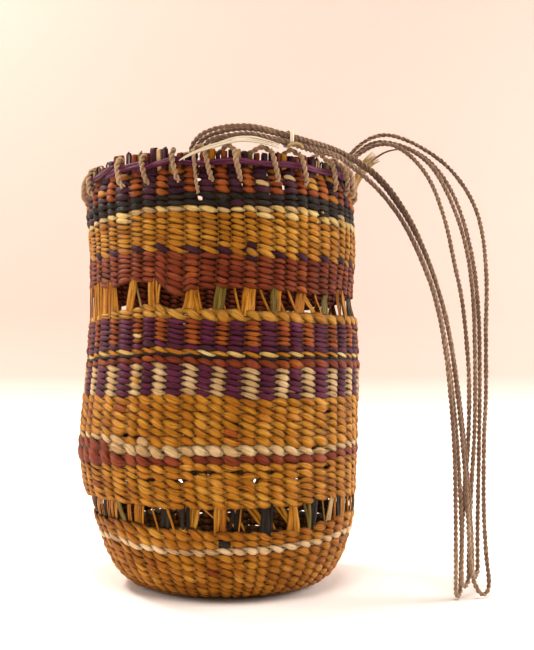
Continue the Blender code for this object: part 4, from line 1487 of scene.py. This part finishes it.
def make_camera():
    data = bpy.data.cameras.new("camera")
    camera = new_object("camera", data)
    camera.location = EYE
    camera.rotation_euler = (math.pi / 2, 0, 0)
    longest = max(PHOTO_WIDTH, PHOTO_HEIGHT)
    data.sensor_width = SENSOR
    data.lens = PHOTO_FOCAL / longest * SENSOR
    data.shift_x = (PHOTO_WIDTH / 2 - PHOTO_CENTRE[0]) / longest
    data.shift_y = (PHOTO_CENTRE[1] - PHOTO_HEIGHT / 2) / longest
    bpy.context.scene.camera = camera


def make_studio():
    """A pale floor that curves up behind the bag, and soft light."""
    arc = [math.pi / 2 * i / SWEEP_STEPS for i in range(SWEEP_STEPS + 1)]
    outline = [(FLOOR_FRONT, 0.0), (0.0, 0.0)]
    outline += [(SWEEP_START + SWEEP_RADIUS * math.sin(a), SWEEP_RADIUS * (1 - math.cos(a)))
                for a in arc]
    outline.append((SWEEP_START + SWEEP_RADIUS, WALL_TOP))
    verts = [(x, y, z) for y, z in outline for x in (-FLOOR_HALF_WIDTH, FLOOR_HALF_WIDTH)]
    faces = [(2 * i, 2 * i + 1, 2 * i + 3, 2 * i + 2) for i in range(len(outline) - 1)]
    mesh = bpy.data.meshes.new("studio_floor")
    mesh.from_pydata(verts, [], faces)
    mesh.shade_smooth()
    floor = new_object("studio_floor", mesh)
    mesh.materials.append(matt_board())

    world = bpy.data.worlds.new("studio")
    world.use_nodes = True
    sky = world.node_tree.nodes["Background"]
    sky.inputs["Color"].default_value = linear(SKY_COLOUR)
    sky.inputs["Strength"].default_value = SKY_STRENGTH
    bpy.context.scene.world = world
    for name, place, size, power, colour in LIGHTS:
        data = bpy.data.lights.new(name, "AREA")
        data.size = size
        data.energy = power
        data.color = linear(colour)[:3]
        lamp = new_object(name, data)
        lamp.location = place
        aim = LIT_PLACE - Vector(place)
        lamp.rotation_euler = aim.to_track_quat("-Z", "Y").to_euler()
    bpy.context.scene.view_settings.view_transform = "Standard"


def main():
    make_camera()
    make_studio()
    finishes = {name: dyed_leaf(name, colours) for name, colours in DYES.items()}
    finishes.update({name: rolled_string(name, colours) for name, colours in STRINGS.items()})
    twining = twining_tree()
    strips = strip_tree()
    plies = two_ply_tree()
    hairs = hair_tree()

    for name, string, hair, path, length in make_handle(plies, hairs, finishes):
        for piece in (string, hair):
            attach(piece, "root")
        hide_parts(name)

    walls = make_twining(twining, finishes)
    walls.append(make_warps(strips, finishes))
    for name, bottom_mm, top_mm, bundles in OPENWORK:
        walls.append(make_openwork(name, strips, finishes, bottom_mm, top_mm, bundles))
    ends, strand, lashing = make_rim(strips, plies, finishes)
    tie = make_tie(strips, finishes)
    pale = make_loose_fibre("pale_fibre_strip", PALE_FIBRE_ROUTE, strips, finishes,
                            *PALE_FIBRE_STRIPS)
    tuft = make_loose_fibre("frayed_tuft", FRAYED_END_ROUTE, strips, finishes,
                            *FRAYED_END_STRIPS)
    thread = make_loose_fibre("frayed_thread", FRAYED_THREAD_ROUTE, strips, finishes,
                              *FRAYED_THREAD_STRIPS)
    frayed = join("frayed_tuft", [tuft, thread])
    for wall in [*walls, ends]:
        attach(wall, "root")
        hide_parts("twined_body")
    for piece, node, slot in [
        (strand, "rim_strand", "rim_strand"),
        (lashing, "rim_lashing", "rim_lashing"),
        (tie, "handle_tie", "pale_fibre"),
        (pale, "pale_fibre", "pale_fibre"),
        (frayed, "frayed_end", "pale_fibre"),
    ]:
        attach(piece, "root")
        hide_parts(node)


main()
